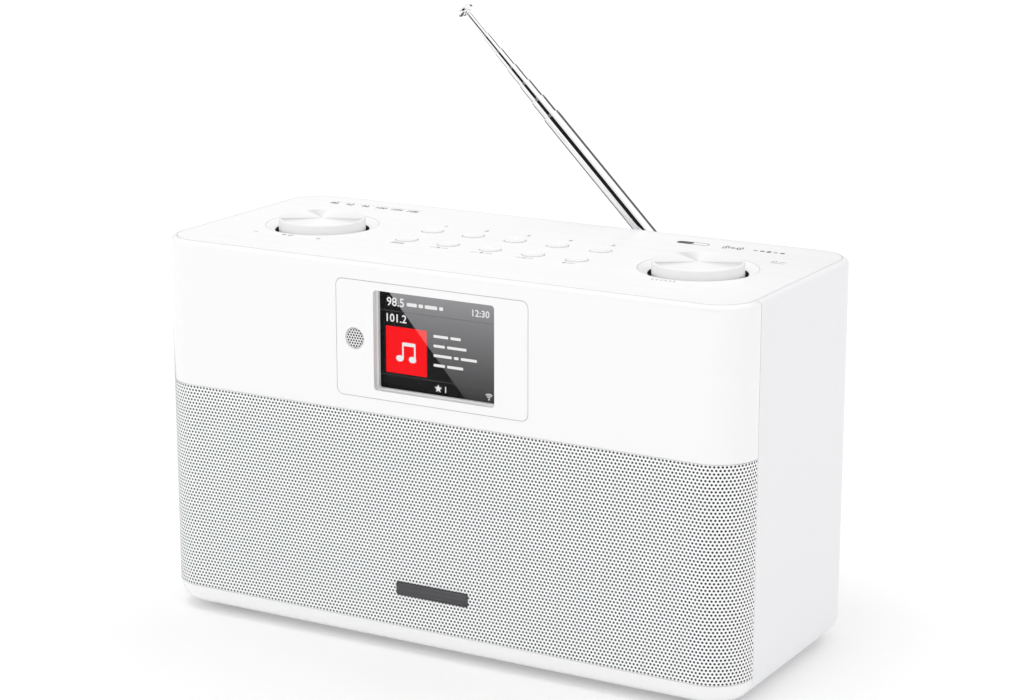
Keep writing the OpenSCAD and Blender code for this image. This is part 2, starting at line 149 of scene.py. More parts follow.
class Shade:
    """One material's node tree, with the methods that fill it."""

    def __init__(self, name: str) -> None:
        """Makes an empty material.

        Args:
            name: The material's name.
        """
        self.material = bpy.data.materials.new(name)
        self.material.use_nodes = True
        self.tree = self.material.node_tree
        self.tree.nodes.clear()

    def node(
        self,
        kind: str,
        settings: dict[str, object] | None = None,
        sockets: dict[str | int, Input] | None = None,
        output: str | int = 0,
    ) -> Value:
        """Adds any shader node.

        Args:
            kind: The node's type.
            settings: The node's own settings, set first. "stops" fills a colour ramp.
            sockets: Values or links for its input sockets.
            output: The output to return.

        Returns:
            The chosen output.
        """
        made = self.tree.nodes.new(kind)
        for name, setting in (settings or {}).items():
            if name == "stops":
                self._fill_ramp(made.color_ramp, setting)
            else:
                setattr(made, name, setting)
        for key, given in (sockets or {}).items():
            if isinstance(given, Value):
                self.tree.links.new(given.socket, made.inputs[key])
            elif isinstance(given, (int, float)):
                made.inputs[key].default_value = given
            else:
                wanted = len(made.inputs[key].default_value)
                made.inputs[key].default_value = (*given, 1.0)[:wanted]
        return Value(self, made.outputs[output])

    @staticmethod
    def _fill_ramp(ramp: bpy.types.ColorRamp, stops: Sequence[tuple[float, float]]) -> None:
        """Sets a colour ramp's grey stops.

        Args:
            ramp: The ramp to fill.
            stops: Pairs of place and grey level.
        """
        while len(ramp.elements) < len(stops):
            ramp.elements.new(0.5)
        for element, (place, level) in zip(ramp.elements, stops):
            element.position = place
            element.color = (level, level, level, 1.0)

    def maths(self, operation: str, *inputs: Value | float, clamp: bool = False) -> Value:
        """Adds a Math node.

        Args:
            operation: The node's operation.
            inputs: Its inputs in order.
            clamp: True to keep the result between 0 and 1.

        Returns:
            The node's result.
        """
        settings = {"operation": operation, "use_clamp": clamp}
        return self.node("ShaderNodeMath", settings, dict(enumerate(inputs)))

    def place(self) -> Value:
        """The point on the piece, in the piece's own frame."""
        return self.node("ShaderNodeTexCoord", output="Object")

    def axes(self, vector: Value) -> tuple[Value, Value, Value]:
        """The three parts of a vector.

        Args:
            vector: The vector to split.

        Returns:
            Its X, Y and Z.
        """
        parts = self.node("ShaderNodeSeparateXYZ", sockets={0: vector}).socket.node.outputs
        return Value(self, parts[0]), Value(self, parts[1]), Value(self, parts[2])

    def stretch(self, vector: Value, by: Sequence[float]) -> Value:
        """A vector multiplied part by part.

        Args:
            vector: The vector to stretch.
            by: The factor for each axis.

        Returns:
            The stretched vector.
        """
        return self.node("ShaderNodeVectorMath", {"operation": "MULTIPLY"}, {0: vector, 1: by})

    def length(self, x: Value, y: Value) -> Value:
        """Length of a level vector.

        Args:
            x: Its part along X.
            y: Its part along Y.

        Returns:
            The length.
        """
        return (x * x + y * y) ** 0.5

    def noise(self, vector: Value, scale: float, detail: float = 3.0, rough: float = 0.5) -> Value:
        """Smooth noise.

        Args:
            vector: Where to sample it.
            scale: Spots per metre.
            detail: How many finer layers it has.
            rough: How strong the finer layers are.

        Returns:
            The noise, about 0.5 on average.
        """
        sockets = {"Vector": vector, "Scale": scale, "Detail": detail, "Roughness": rough}
        return self.node("ShaderNodeTexNoise", sockets=sockets)

    def blend(self, factor: Value | float, first: Input, second: Input) -> Value:
        """Mixes two colours.

        Args:
            factor: 0 for the first and 1 for the second.
            first: A colour.
            second: Another colour.

        Returns:
            The mixed colour.
        """
        settings = {"data_type": "RGBA"}
        return self.node("ShaderNodeMix", settings, {0: factor, 6: first, 7: second}, output=2)

    def ramp(self, factor: Value, *stops: tuple[float, float]) -> Value:
        """Maps a value through grey stops.

        Args:
            factor: The value to map.
            stops: Pairs of place and level.

        Returns:
            The mapped value.
        """
        return self.node("ShaderNodeValToRGB", {"stops": stops}, {0: factor})

    def bump(self, height: Value, depth: float, strength: float = 1.0, edge: float = 0.0) -> Value:
        """Turns a height into a normal.

        Args:
            height: The height, 0 to 1.
            depth: What a height of 1 stands for, in metres.
            strength: How much of the effect is used.
            edge: Radius that softens sharp edges, in metres, or 0.

        Returns:
            The normal.
        """
        sockets: dict[str | int, Input] = {"Strength": strength, "Distance": depth, "Height": height}
        if edge:
            sockets["Normal"] = self.node("ShaderNodeBevel", {"samples": 6}, {"Radius": edge})
        return self.node("ShaderNodeBump", sockets=sockets)

    def surface(self, sockets: dict[str | int, Input]) -> None:
        """Ends the tree in a Principled shader.

        Args:
            sockets: Values or links for the shader's sockets.
        """
        shader = self.node("ShaderNodeBsdfPrincipled", sockets=sockets)
        end = self.tree.nodes.new("ShaderNodeOutputMaterial")
        self.tree.links.new(shader.socket, end.inputs["Surface"])


@dataclass(frozen=True)
class Finish:
    """A named surface finish. Each kind fills in build()."""

    name: str

    def build(self, shade: Shade) -> None:
        """Fills the node tree.

        Args:
            shade: The tree to fill.
        """
        raise NotImplementedError

    def material(self) -> bpy.types.Material:
        """The finish's material, made once and shared."""
        name = f"look_{self.name}"
        found = bpy.data.materials.get(name)
        if found:
            return found
        shade = Shade(name)
        self.build(shade)
        return shade.material


@dataclass(frozen=True)
class Moulded(Finish):
    """Moulded or painted plastic with a fine surface grain."""

    colour: Colour = (0.9, 0.9, 0.9)
    roughness: float = 0.4
    grain: float = 3000.0
    depth: float = 0.00002
    coat: float = 0.0
    edge: float = 0.0003
    drift: float = 0.03

    def build(self, shade: Shade) -> None:
        """Fills the node tree with grain, slight tone drift and softened edges."""
        place = shade.place()
        fine = shade.noise(place, self.grain, 2.0)
        cloud = shade.noise(place, 28.0, 3.0)
        darker = scaled(self.colour, 1.0 - self.drift)
        shade.surface(
            {
                "Base Color": shade.blend(cloud, darker, self.colour),
                "Roughness": self.roughness + (fine - 0.5) * 0.12 + (cloud - 0.5) * 0.06,
                "Coat Weight": self.coat,
                "Coat Roughness": 0.08,
                "Normal": shade.bump(fine, self.depth, 0.6, self.edge),
            }
        )


@dataclass(frozen=True)
class Brushed(Finish):
    """A plate with fine straight brushing along X under a satin lacquer."""

    colour: Colour = (0.9, 0.9, 0.9)
    roughness: float = 0.35
    metal: float = 0.0
    depth: float = 0.00002
    tone: float = 0.06
    edge: float = 0.00025
    fine: Sequence[float] = (18.0, 1500.0, 1500.0)
    broad: Sequence[float] = (5.0, 260.0, 260.0)

    def build(self, shade: Shade) -> None:
        """Fills the node tree with long streaks."""
        streak = self.streaks(shade, shade.place())
        shade.surface(
            {
                "Base Color": self.satin(shade, streak),
                "Roughness": self.roughness + (streak - 0.5) * 0.3,
                "Metallic": self.metal,
                "Normal": shade.bump(streak, self.depth, 0.5, self.edge),
            }
        )

    def streaks(self, shade: Shade, place: Value) -> Value:
        """Fine streaks over broad ones.

        Args:
            shade: The tree to add to.
            place: The point on the piece.

        Returns:
            The streaks, about 0.5 on average.
        """
        fine = shade.noise(shade.stretch(place, self.fine), 1.0, 3.0, 0.6)
        broad = shade.noise(shade.stretch(place, self.broad), 1.0, 2.0)
        return fine * 0.6 + broad * 0.4

    def satin(self, shade: Shade, streak: Value) -> Value:
        """The plate's colour, darker in the streaks.

        Args:
            shade: The tree to add to.
            streak: The streaks.

        Returns:
            The colour.
        """
        darker = scaled(self.colour, 1.0 - self.tone)
        return shade.blend(shade.ramp(streak, (0.38, 0.0), (0.6, 1.0)), darker, self.colour)


@dataclass(frozen=True)
class Plate(Brushed):
    """The brushed top plate, smooth in its two knob dishes, with painted shade down in their wells."""

    centres: Outline = ()
    dish: float = 0.0252
    line: float = 0.00016
    floor: float = 0.166
    # Painted shade: a dark line at each dish's rim, and near black deep in the wells.
    line_colour: Colour = (0.35, 0.35, 0.35)
    well_colour: Colour = (0.03, 0.03, 0.03)

    def build(self, shade: Shade) -> None:
        """Fills the node tree with streaks, a thin line of painted shade round each dish's rim, and painted
        shade in the wells.
        """
        place = shade.place()
        x, y, z = shade.axes(place)
        reach = shade.maths("MINIMUM", *(shade.length(x - cx, y - cy) for cx, cy in self.centres))
        in_dish = reach < self.dish
        streak = self.streaks(shade, place) * (1.0 - in_dish) + in_dish * 0.55
        # Painted shade: a thin dark line where the dish's rim turns down.
        on_rim_shade = shade.maths("COMPARE", reach, self.dish, self.line)
        # Painted shade: everything below the dish floor is near black.
        well = z < self.floor
        rim_shaded = shade.blend(on_rim_shade * 0.6, self.satin(shade, streak), self.line_colour)
        shade.surface(
            {
                "Base Color": shade.blend(well, rim_shaded, self.well_colour),
                "Roughness": self.roughness + (streak - 0.5) * 0.3,
                "Normal": shade.bump(streak, self.depth, 0.5, self.edge),
            }
        )


@dataclass(frozen=True)
class Spun(Finish):
    """A knob with a circular spun top, crossed by three soft dark wedges of painted reflection, and a smooth
    side.
    """

    colour: Colour = (0.94, 0.94, 0.942)
    centre: Pair = (0.0, 0.0)
    top: float = 0.17
    radius: float = 0.018
    groove: float = 0.0004
    # Wedges of painted reflection: first edge and signed width in degrees, and strength of each.
    fans: Sequence[tuple[float, float, float]] = (
        (209.7, 34.0, 1.0),
        (29.7, -52.0, 0.75),
        (149.7, -40.0, 1.0),
    )

    def build(self, shade: Shade) -> None:
        """Fills the node tree with rings, and wedges of painted reflection that only the top face has."""
        x, y, z = shade.axes(shade.place())
        dx, dy = x - self.centre[0], y - self.centre[1]
        reach = shade.length(dx, dy)
        on_top = (z > self.top) * (reach < self.radius)
        wobble = shade.noise(shade.node("ShaderNodeCombineXYZ", sockets={0: reach}), 2600.0, 4.0, 0.7)
        rings = shade.maths("SINE", reach * (TURN / self.groove)) * 0.5 + 0.5
        angle = shade.maths("ARCTAN2", dy, dx)
        # Painted reflection: dark wedges on the top that stand in for the spun surface's reflection.
        shadow = shade.maths("MAXIMUM", self.fan(angle, self.fans[0]), self.fan(angle, self.fans[1]))
        grooved_reflection = self.fan(angle, self.fans[2]) * (0.6 + rings * 0.4)
        shadow = shade.maths("MAXIMUM", shadow, grooved_reflection) * on_top
        # The painted reflection's dark tone.
        darker = scaled(self.colour, 0.5)
        shade.surface(
            {
                "Base Color": shade.blend(shadow * (0.8 + wobble * 0.4), self.colour, darker),
                "Roughness": 0.32 + wobble * 0.1,
                "Anisotropic": 0.8,
                "Normal": shade.bump((rings * 0.5 + wobble * 0.5) * on_top, 0.00002, 0.6, 0.0002),
            }
        )

    @staticmethod
    def fan(angle: Value, fan: tuple[float, float, float]) -> Value:
        """A wedge of painted reflection that is darkest near its first edge and fades to its second.

        Args:
            angle: Angle round the knob in radians.
            fan: First edge and signed width in degrees, and strength.

        Returns:
            The fan's strength at that angle.
        """
        start, width, strength = fan
        turned = (angle - math.radians(start)) * (1.0 if width > 0 else -1.0)
        along = turned.maths("WRAP", TURN, 0.0) / math.radians(abs(width))
        rise = (along * 3.5).maths("MINIMUM", 1.0)
        fall = (1.0 - along).maths("MAXIMUM", 0.0)
        return rise * fall * strength


@dataclass(frozen=True)
class Metal(Finish):
    """Bare or plated metal with drawn streaks and fine scratches."""

    colour: Colour = (0.8, 0.8, 0.82)
    roughness: float = 0.1
    streak: Sequence[float] = (400.0, 400.0, 400.0)
    depth: float = 0.000004
    metal: float = 1.0
    edge: float = 0.0

    def build(self, shade: Shade) -> None:
        """Fills the node tree with streaked roughness."""
        place = shade.place()
        streaks = shade.noise(shade.stretch(place, self.streak), 1.0, 4.0, 0.6)
        spots = shade.noise(place, 90.0, 2.0)
        darker = scaled(self.colour, 0.9)
        shade.surface(
            {
                "Base Color": shade.blend(spots, darker, self.colour),
                "Roughness": self.roughness * (0.75 + streaks * 0.5),
                "Metallic": self.metal,
                "Normal": shade.bump(streaks, self.depth, 0.4, self.edge),
            }
        )


@dataclass(frozen=True)
class Weave(Finish):
    """Thin woven cloth."""

    colour: Colour = (0.02, 0.02, 0.022)
    threads: float = 2800.0

    def build(self, shade: Shade) -> None:
        """Fills the node tree with crossing threads."""
        x, y, z = shade.axes(shade.place())
        turn = TURN * self.threads
        over = shade.maths("SINE", x * turn + y * turn) * 0.5 + 0.5
        under = shade.maths("SINE", z * turn) * 0.5 + 0.5
        threads = shade.maths("MAXIMUM", over, under)
        lighter = scaled(self.colour, 2.2)
        shade.surface(
            {
                "Base Color": shade.blend(threads, self.colour, lighter),
                "Roughness": 0.85 + threads * 0.1,
                "Sheen Weight": 0.15,
                "Normal": shade.bump(threads, 0.0001),
            }
        )


@dataclass(frozen=True)
class Fibre(Finish):
    """Pressed board or paper with visible fibres."""

    colour: Colour = (0.1, 0.08, 0.07)
    roughness: float = 0.85
    scale: float = 900.0

    def build(self, shade: Shade) -> None:
        """Fills the node tree with short fibres."""
        place = shade.place()
        fibres = shade.noise(shade.stretch(place, (0.3, 1.0, 1.4)), self.scale, 5.0, 0.7)
        lighter = scaled(self.colour, 1.7)
        shade.surface(
            {
                "Base Color": shade.blend(fibres, self.colour, lighter),
                "Roughness": self.roughness,
                "Normal": shade.bump(fibres, 0.0001),
            }
        )


@dataclass(frozen=True)
class Board(Finish):
    """Circuit board with etched tracks under solder resist."""

    colour: Colour = (0.015, 0.13, 0.05)
    pad: Colour = (0.75, 0.62, 0.32)

    def build(self, shade: Shade) -> None:
        """Fills the node tree with square tracks and pads."""
        place = shade.place()
        sockets = {"Vector": place, "Scale": 240.0, "Randomness": 1.0}
        cells = shade.node("ShaderNodeTexVoronoi", {"distance": "MANHATTAN", "feature": "F1"}, sockets)
        tracks = shade.ramp(cells, (0.42, 0.0), (0.5, 1.0))
        pads = cells < 0.16
        lighter = scaled(self.colour, 1.9)
        green = shade.blend(tracks, self.colour, lighter)
        shade.surface(
            {
                "Base Color": shade.blend(pads, green, self.pad),
                "Roughness": 0.35 - pads * 0.1,
                "Metallic": pads * 1.0,
                "Normal": shade.bump(tracks, 0.00005),
            }
        )


@dataclass(frozen=True)
class Screen(Finish):
    """The lit panel's dark glowing tone with a lighter slanted field of painted glare."""

    colour: Colour = (0.006, 0.006, 0.007)
    # Top and foot tones of the slanted field of painted glare.
    glare: Colour = (0.36, 0.36, 0.37)
    foot: Colour = (0.045, 0.045, 0.047)
    corner: Pair = (0.0, 0.0)
    slope: float = 0.9
    tall: float = 0.042

    def build(self, shade: Shade) -> None:
        """Fills the node tree with the slanted field of painted glare, brightest at its top."""
        place = shade.place()
        x, _, z = shade.axes(place)
        down = self.corner[1] - z
        # Painted glare: a lighter slanted field that stands in for a reflection on the screen.
        in_glare_field = (x - self.corner[0] - down * self.slope) > 0.0
        lower = shade.maths("POWER", shade.maths("DIVIDE", down, self.tall, clamp=True), 0.75)
        grid = shade.noise(place, 5200.0, 1.0)
        tone = shade.blend(in_glare_field, self.colour, shade.blend(lower, self.glare, self.foot))
        shade.surface(
            {
                "Base Color": (0.004, 0.004, 0.004),
                "Roughness": 0.35 + grid * 0.1,
                "Specular IOR Level": 0.05,
                "Emission Color": tone,
                "Emission Strength": 1.0,
            }
        )


@dataclass(frozen=True)
class Lit(Finish):
    """A lit mark on the screen."""

    colour: Colour = (0.9, 0.9, 0.9)

    def build(self, shade: Shade) -> None:
        """Fills the node tree with an even glow that has a faint pixel grain."""
        grain = shade.noise(shade.place(), 4200.0, 1.0)
        darker = scaled(self.colour, 0.9)
        shade.surface(
            {
                "Base Color": (0.01, 0.01, 0.01),
                "Roughness": 0.5,
                "Specular IOR Level": 0.05,
                "Emission Color": shade.blend(grain, darker, self.colour),
                "Emission Strength": 1.0,
            }
        )


@dataclass(frozen=True)
class ClearPane(Finish):
    """Clear panel over the screen, with faint smears."""

    clear: float = 0.08

    def build(self, shade: Shade) -> None:
        """Fills the node tree with a nearly clear gloss."""
        smear = shade.noise(shade.place(), 60.0, 4.0)
        shade.surface(
            {
                "Base Color": (0.02, 0.02, 0.02),
                "Roughness": 0.03 + smear * 0.03,
                "Alpha": self.clear,
                "Specular IOR Level": 0.3,
            }
        )


@dataclass(frozen=True)
class Floor(Finish):
    """Pale sweep that glows more with distance, so that it stays white away from the lamps."""

    colour: Colour = (0.86, 0.86, 0.86)
    glow: float = 0.3
    near: float = 0.4
    reach: float = 3.2

    def build(self, shade: Shade) -> None:
        """Fills the node tree with a very faint mottle and a glow that grows outwards."""
        place = shade.place()
        cloud = shade.noise(place, 30.0, 3.0)
        x, y, _ = shade.axes(place)
        away = shade.length(x, y)
        far = shade.maths("MINIMUM", self.near + away * ((1.0 - self.near) / self.reach), 1.0)
        darker = scaled(self.colour, 0.995)
        shade.surface(
            {
                "Base Color": shade.blend(cloud, darker, self.colour),
                "Roughness": 0.7 + cloud * 0.1,
                "Specular IOR Level": 0.2,
                "Emission Color": shade.blend(far, (0.0, 0.0, 0.0), (1.0, 1.0, 1.0)),
                "Emission Strength": self.glow,
            }
        )


@dataclass(frozen=True)
class Ink(Finish):
    """Printed ink that has soaked slightly unevenly."""

    colour: Colour = (0.25, 0.25, 0.26)

    def build(self, shade: Shade) -> None:
        """Fills the node tree with a slightly uneven tone."""
        soak = shade.noise(shade.place(), 2500.0, 3.0)
        lighter = scaled(self.colour, 1.25)
        shade.surface({"Base Color": shade.blend(soak, self.colour, lighter), "Roughness": 0.5 + soak * 0.1})


class Kit(Enum):
    """The radio's finishes."""

    COVER = Moulded("cover_gloss_white", WHITE, 0.16, 1400.0, FINE_GRAIN, 0.35, 0.0003, 0.008)
    BEZEL = Moulded("bezel_gloss_white", WHITE, 0.2, 1400.0, FINE_GRAIN, 0.25, 0.0002, 0.008)
    CABINET = Moulded("cabinet_matt_grey", (0.9, 0.9, 0.915), 0.55, 2600.0, 0.00003, 0.0, 0.0003, 0.015)
    PANEL = Moulded("rear_matt_grey", (0.7, 0.7, 0.715), 0.6, 2200.0, 0.00004, 0.0, 0.0003, 0.03)
    TRAY = Moulded("tray_grey", (0.55, 0.55, 0.56), 0.6, 1800.0, 0.00003)
    BUTTON = Moulded("button_white", WHITE, 0.28, 2000.0, 0.000006, 0.1, 0.0002, 0.01)
    BLACK = Moulded("black_moulded", (0.02, 0.02, 0.022), 0.5, 2600.0, 0.00004, 0.0, 0.0002, 0.2)
    NYLON = Moulded("nylon_cream", (0.8, 0.76, 0.66), 0.5, 1500.0)
    RUBBER = Moulded("foot_rubber", (0.025, 0.025, 0.027), 0.8, 2400.0, 0.00008, 0.0, 0.0004, 0.25)
    BADGE = Brushed("badge_brushed_dark", (0.11, 0.11, 0.115), 0.25, 0.9, 0.00001, 0.3)
    GRILLE = Moulded("grille_satin_white", (0.985, 0.985, 0.985), 0.42, 900.0, 0.000006, 0.0, 0.0, 0.015)
    # Dark grey hole walls: painted shade inside the grille's holes.
    PUNCHED = Moulded("grille_hole_wall_painted_shade", (0.18, 0.18, 0.18), 0.6, 900.0, 0.000006, 0.0, 0.0, 0.1)
    # Mid grey strips in the seams: painted shade in the gaps between parts.
    GASKET = Moulded("seam_painted_shade", (0.5, 0.5, 0.5), 0.7, 2000.0, 0.00001, 0.0, 0.0, 0.05)
    MESH = Moulded("sensor_mesh", (0.88, 0.88, 0.885), 0.4, 2000.0, 0.000006, 0.0, 0.0, 0.02)
    CLOTH = Weave("grille_cloth_black")
    CHROME = Metal("aerial_chrome", (0.97, 0.97, 0.98), 0.05, (300.0, 900.0, 300.0), 0.000002)
    STEEL = Metal("zinc_steel", (0.6, 0.6, 0.6), 0.32, (900.0, 900.0, 900.0), 0.00001, 1.0, 0.0002)
    ENCODER = Metal("encoder_steel", (0.66, 0.66, 0.68), 0.28, (700.0, 700.0, 300.0), 0.00001)
    FINS = Metal("black_fins", (0.03, 0.03, 0.033), 0.4, (300.0, 1200.0, 1200.0), 0.00001, 0.6)
    MAGNET = Metal("magnet_ferrite", (0.08, 0.08, 0.085), 0.6, (500.0, 500.0, 500.0), 0.00003, 0.4)
    BASKET = Metal("basket_black", (0.035, 0.035, 0.038), 0.45, (600.0, 600.0, 600.0), 0.00002, 0.3)
    BAFFLE = Fibre("baffle_board", (0.07, 0.055, 0.05))
    CONE = Fibre("cone_paper", (0.02, 0.02, 0.022), 0.8, 700.0)
    BOARD = Board("board_green")
    PANE = ClearPane("window_clear")
    INK = Ink("print_grey", (0.22, 0.22, 0.225))
    DARK_INK = Ink("print_dark", (0.06, 0.06, 0.062))
    LIT_WHITE = Lit("lit_white", (1.02, 1.02, 1.02))
    LIT_GREY = Lit("lit_grey", (0.12, 0.12, 0.12))


@dataclass
class Box:
    """A node's box in the part's frame."""

    low: Vector
    high: Vector

    @classmethod
    def of(cls, node: str) -> "Box":
        """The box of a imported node.

        Args:
            node: The node's name.

        Returns:
            Its box at rest.
        """
        return cls(*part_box(node))

    @property
    def centre(self) -> Vector:
        """The box's middle."""
        return (self.low + self.high) / 2

    @property
    def size(self) -> Vector:
        """The box's extent along each axis."""
        return self.high - self.low


def dress(finish: Finish, *nodes: str) -> None:
    """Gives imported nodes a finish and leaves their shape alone.

    Args:
        finish: The finish to use.
        nodes: The nodes' names.
    """
    for node in nodes:
        piece = frame["nodes"][node]
        if not piece.material_slots:
            piece.data.materials.append(None)
        for held in piece.material_slots:
            held.material = finish.material()
        log.info("dressed %s in %s", node, finish.name)


def add_piece(
    name: str,
    verts: Sequence[Sequence[float]],
    faces: Sequence[Sequence[int]],
    finish: Finish,
    body: str,
    stands_for: Sequence[str] = (),
    sharp: float = 35.0,
) -> bpy.types.Object:
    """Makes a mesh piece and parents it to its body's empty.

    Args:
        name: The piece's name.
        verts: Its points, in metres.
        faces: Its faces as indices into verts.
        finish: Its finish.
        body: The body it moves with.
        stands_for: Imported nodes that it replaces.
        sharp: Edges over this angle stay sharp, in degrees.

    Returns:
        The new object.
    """
    mesh = bpy.data.meshes.new(name)
    mesh.from_pydata([tuple(v) for v in verts], [], [tuple(f) for f in faces])
    mesh.polygons.foreach_set("use_smooth", [True] * len(mesh.polygons))
    mesh.set_sharp_from_angle(angle=math.radians(sharp))
    mesh.materials.append(finish.material())
    piece = bpy.data.objects.new(name, mesh)
    bpy.context.scene.collection.objects.link(piece)
    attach(piece, body)
    if stands_for:
        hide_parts(*stands_for)
    log.info("built %s with %d faces", name, len(faces))
    return piece


class Solid:
    """Collects the points and faces of one piece."""

    def __init__(self, sharp: float = 35.0) -> None:
        """Starts empty.

        Args:
            sharp: Edges over this angle stay sharp, in degrees.
        """
        self.sharp = sharp
        self.verts: list[Vector] = []
        self.faces: list[list[int]] = []

    def loft(self, rings: Sequence[Sequence[Vector]], caps: bool = True) -> None:
        """Joins closed rings of equal length with quads.

        Args:
            rings: The rings in order.
            caps: True to close both ends.
        """
        start, count = len(self.verts), len(rings[0])
        for ring in rings:
            self.verts.extend(ring)
        for i in range(len(rings) - 1):
            a, b = start + i * count, start + (i + 1) * count
            for k in range(count):
                n = (k + 1) % count
                self.faces.append([a + k, a + n, b + n, b + k])
        if caps:
            self.faces.append([start + k for k in reversed(range(count))])
            last = start + (len(rings) - 1) * count
            self.faces.append([last + k for k in range(count)])

    def revolve(self, profile: Outline, steps: int, where: Matrix, caps: bool = True) -> None:
        """Turns a profile of radius and height about the local Z axis.

        Args:
            profile: Pairs of radius and height.
            steps: Points round the circle.
            where: Places the local frame.
            caps: True to close both ends.
        """
        turns = [TURN * k / steps for k in range(steps)]
        around = [(math.cos(t), math.sin(t)) for t in turns]
        self.loft([[where @ Vector((r * x, r * y, h)) for x, y in around] for r, h in profile], caps)

    def prism(self, outline: Outline, low: float, high: float, where: Matrix) -> None:
        """Extrudes an outline along the local Z axis.

        Args:
            outline: Points in local X and Y, anticlockwise.
            low: Where it starts.
            high: Where it ends.
            where: Places the local frame.
        """
        self.loft([[where @ Vector((x, y, h)) for x, y in outline] for h in (low, high)])

    def band(self, outer: Outline, inner: Outline, low: float, high: float, where: Matrix) -> None:
        """Extrudes the area between two outlines with the same number of points.

        Args:
            outer: The outer outline, anticlockwise.
            inner: The inner outline.
            low: Where it starts.
            high: Where it ends.
            where: Places the local frame.
        """
        rings = [(outer, low), (outer, high), (inner, high), (inner, low), (outer, low)]
        self.loft([[where @ Vector((x, y, h)) for x, y in line] for line, h in rings], caps=False)

    def strip(self, size: Pair, radius: float, grow: Pair, height: Pair, steps: int, where: Matrix) -> None:
        """Adds a strip between two rectangles with round corners.

        Args:
            size: The seam's width and height.
            radius: Its corner radius.
            grow: How far the outer and the inner line stand outside it.
            height: Where the strip starts and ends.
            steps: Points in each corner.
            where: Places the local frame.
        """
        outer, inner = (rounded(size[0] + 2 * g, size[1] + 2 * g, radius + g, steps) for g in grow)
        self.band(outer, inner, *height, where)

    def piece(self, name: str, finish: Finish, slot: str, body: str, *stands_for: str) -> bpy.types.Object:
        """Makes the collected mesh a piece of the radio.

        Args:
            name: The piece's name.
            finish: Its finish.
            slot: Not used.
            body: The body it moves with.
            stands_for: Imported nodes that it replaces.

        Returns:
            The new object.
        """
        return add_piece(name, self.verts, self.faces, finish, body, stands_for, self.sharp)


def circle(radius: float, steps: int = 32, x: float = 0.0, y: float = 0.0, start: float = 0.0) -> list[Pair]:
    """Points round a circle, anticlockwise.

    Args:
        radius: The circle's radius.
        steps: How many points.
        x: Its middle along X.
        y: Its middle along Y.
        start: Angle of the first point in radians.

    Returns:
        The points.
    """
    turns = [start + TURN * k / steps for k in range(steps)]
    return [(x + radius * math.cos(t), y + radius * math.sin(t)) for t in turns]


def rounded(
    width: float,
    height: float,
    radius: float,
    steps: int = 8,
    x: float = 0.0,
    y: float = 0.0,
) -> list[Pair]:
    """Points round a rectangle with round corners, anticlockwise.

    Args:
        width: Size along X.
        height: Size along Y.
        radius: Corner radius.
        steps: Points in each corner.
        x: Its middle along X.
        y: Its middle along Y.

    Returns:
        The points.
    """
    points = []
    for quarter, (sx, sy) in enumerate(((1, 1), (-1, 1), (-1, -1), (1, -1))):
        cx, cy = x + sx * (width / 2 - radius), y + sy * (height / 2 - radius)
        for k in range(steps + 1):
            turn = math.pi / 2 * (quarter + k / steps)
            points.append((cx + radius * math.cos(turn), cy + radius * math.sin(turn)))
    return points


def quarter_round(radius: float, edge: float, top: float, steps: int, first: int = 0) -> list[Pair]:
    """A rounded outer edge as a profile of radius and height, from the side to the top.

    Args:
        radius: Radius of the side.
        edge: Radius of the rounding.
        top: Height of the top.
        steps: Steps from the side to the top.
        first: The first step to give.

    Returns:
        The profile's points.
    """
    turns = [math.pi / 2 * k / steps for k in range(first, steps + 1)]
    return [(radius - edge + edge * math.cos(t), top - edge + edge * math.sin(t)) for t in turns]


def facing_front(x: float, y: float, z: float) -> Matrix:
    """A frame whose X is to the right, Y is up and Z points out of the front.

    Args:
        x: Its origin along X.
        y: Its origin along Y.
        z: Its origin along Z.

    Returns:
        The frame.
    """
    return Matrix.Translation((x, y, z)) @ Matrix.Rotation(math.pi / 2, 4, "X")


def lying(x: float, y: float, z: float) -> Matrix:
    """A frame that lies flat, facing up.

    Args:
        x: Its origin along X.
        y: Its origin along Y.
        z: Its origin along Z.

    Returns:
        The frame.
    """
    return Matrix.Translation((x, y, z))


def digits(text: str, height: float, bold: float) -> tuple[list[Pair], list[list[int]]]:
    """Outlines of figures as flat faces.

    Args:
        text: Figures to draw.
        height: Height of a figure in metres.
        bold: How far the strokes are widened, as a part of the height.

    Returns:
        The points and faces, centred on the origin.
    """
    curve = bpy.data.curves.new("figures", "FONT")
    curve.body = text
    curve.align_x, curve.align_y = "CENTER", "CENTER"
    curve.size = height / 0.72
    curve.offset = bold * height
    curve.resolution_u = 3
    holder = bpy.data.objects.new("figures", curve)
    mesh = bpy.data.meshes.new_from_object(holder)
    points = [(v.co.x, v.co.y) for v in mesh.vertices]
    faces = [list(p.vertices) for p in mesh.polygons]
    bpy.data.objects.remove(holder)
    bpy.data.curves.remove(curve)
    bpy.data.meshes.remove(mesh)
    return points, faces


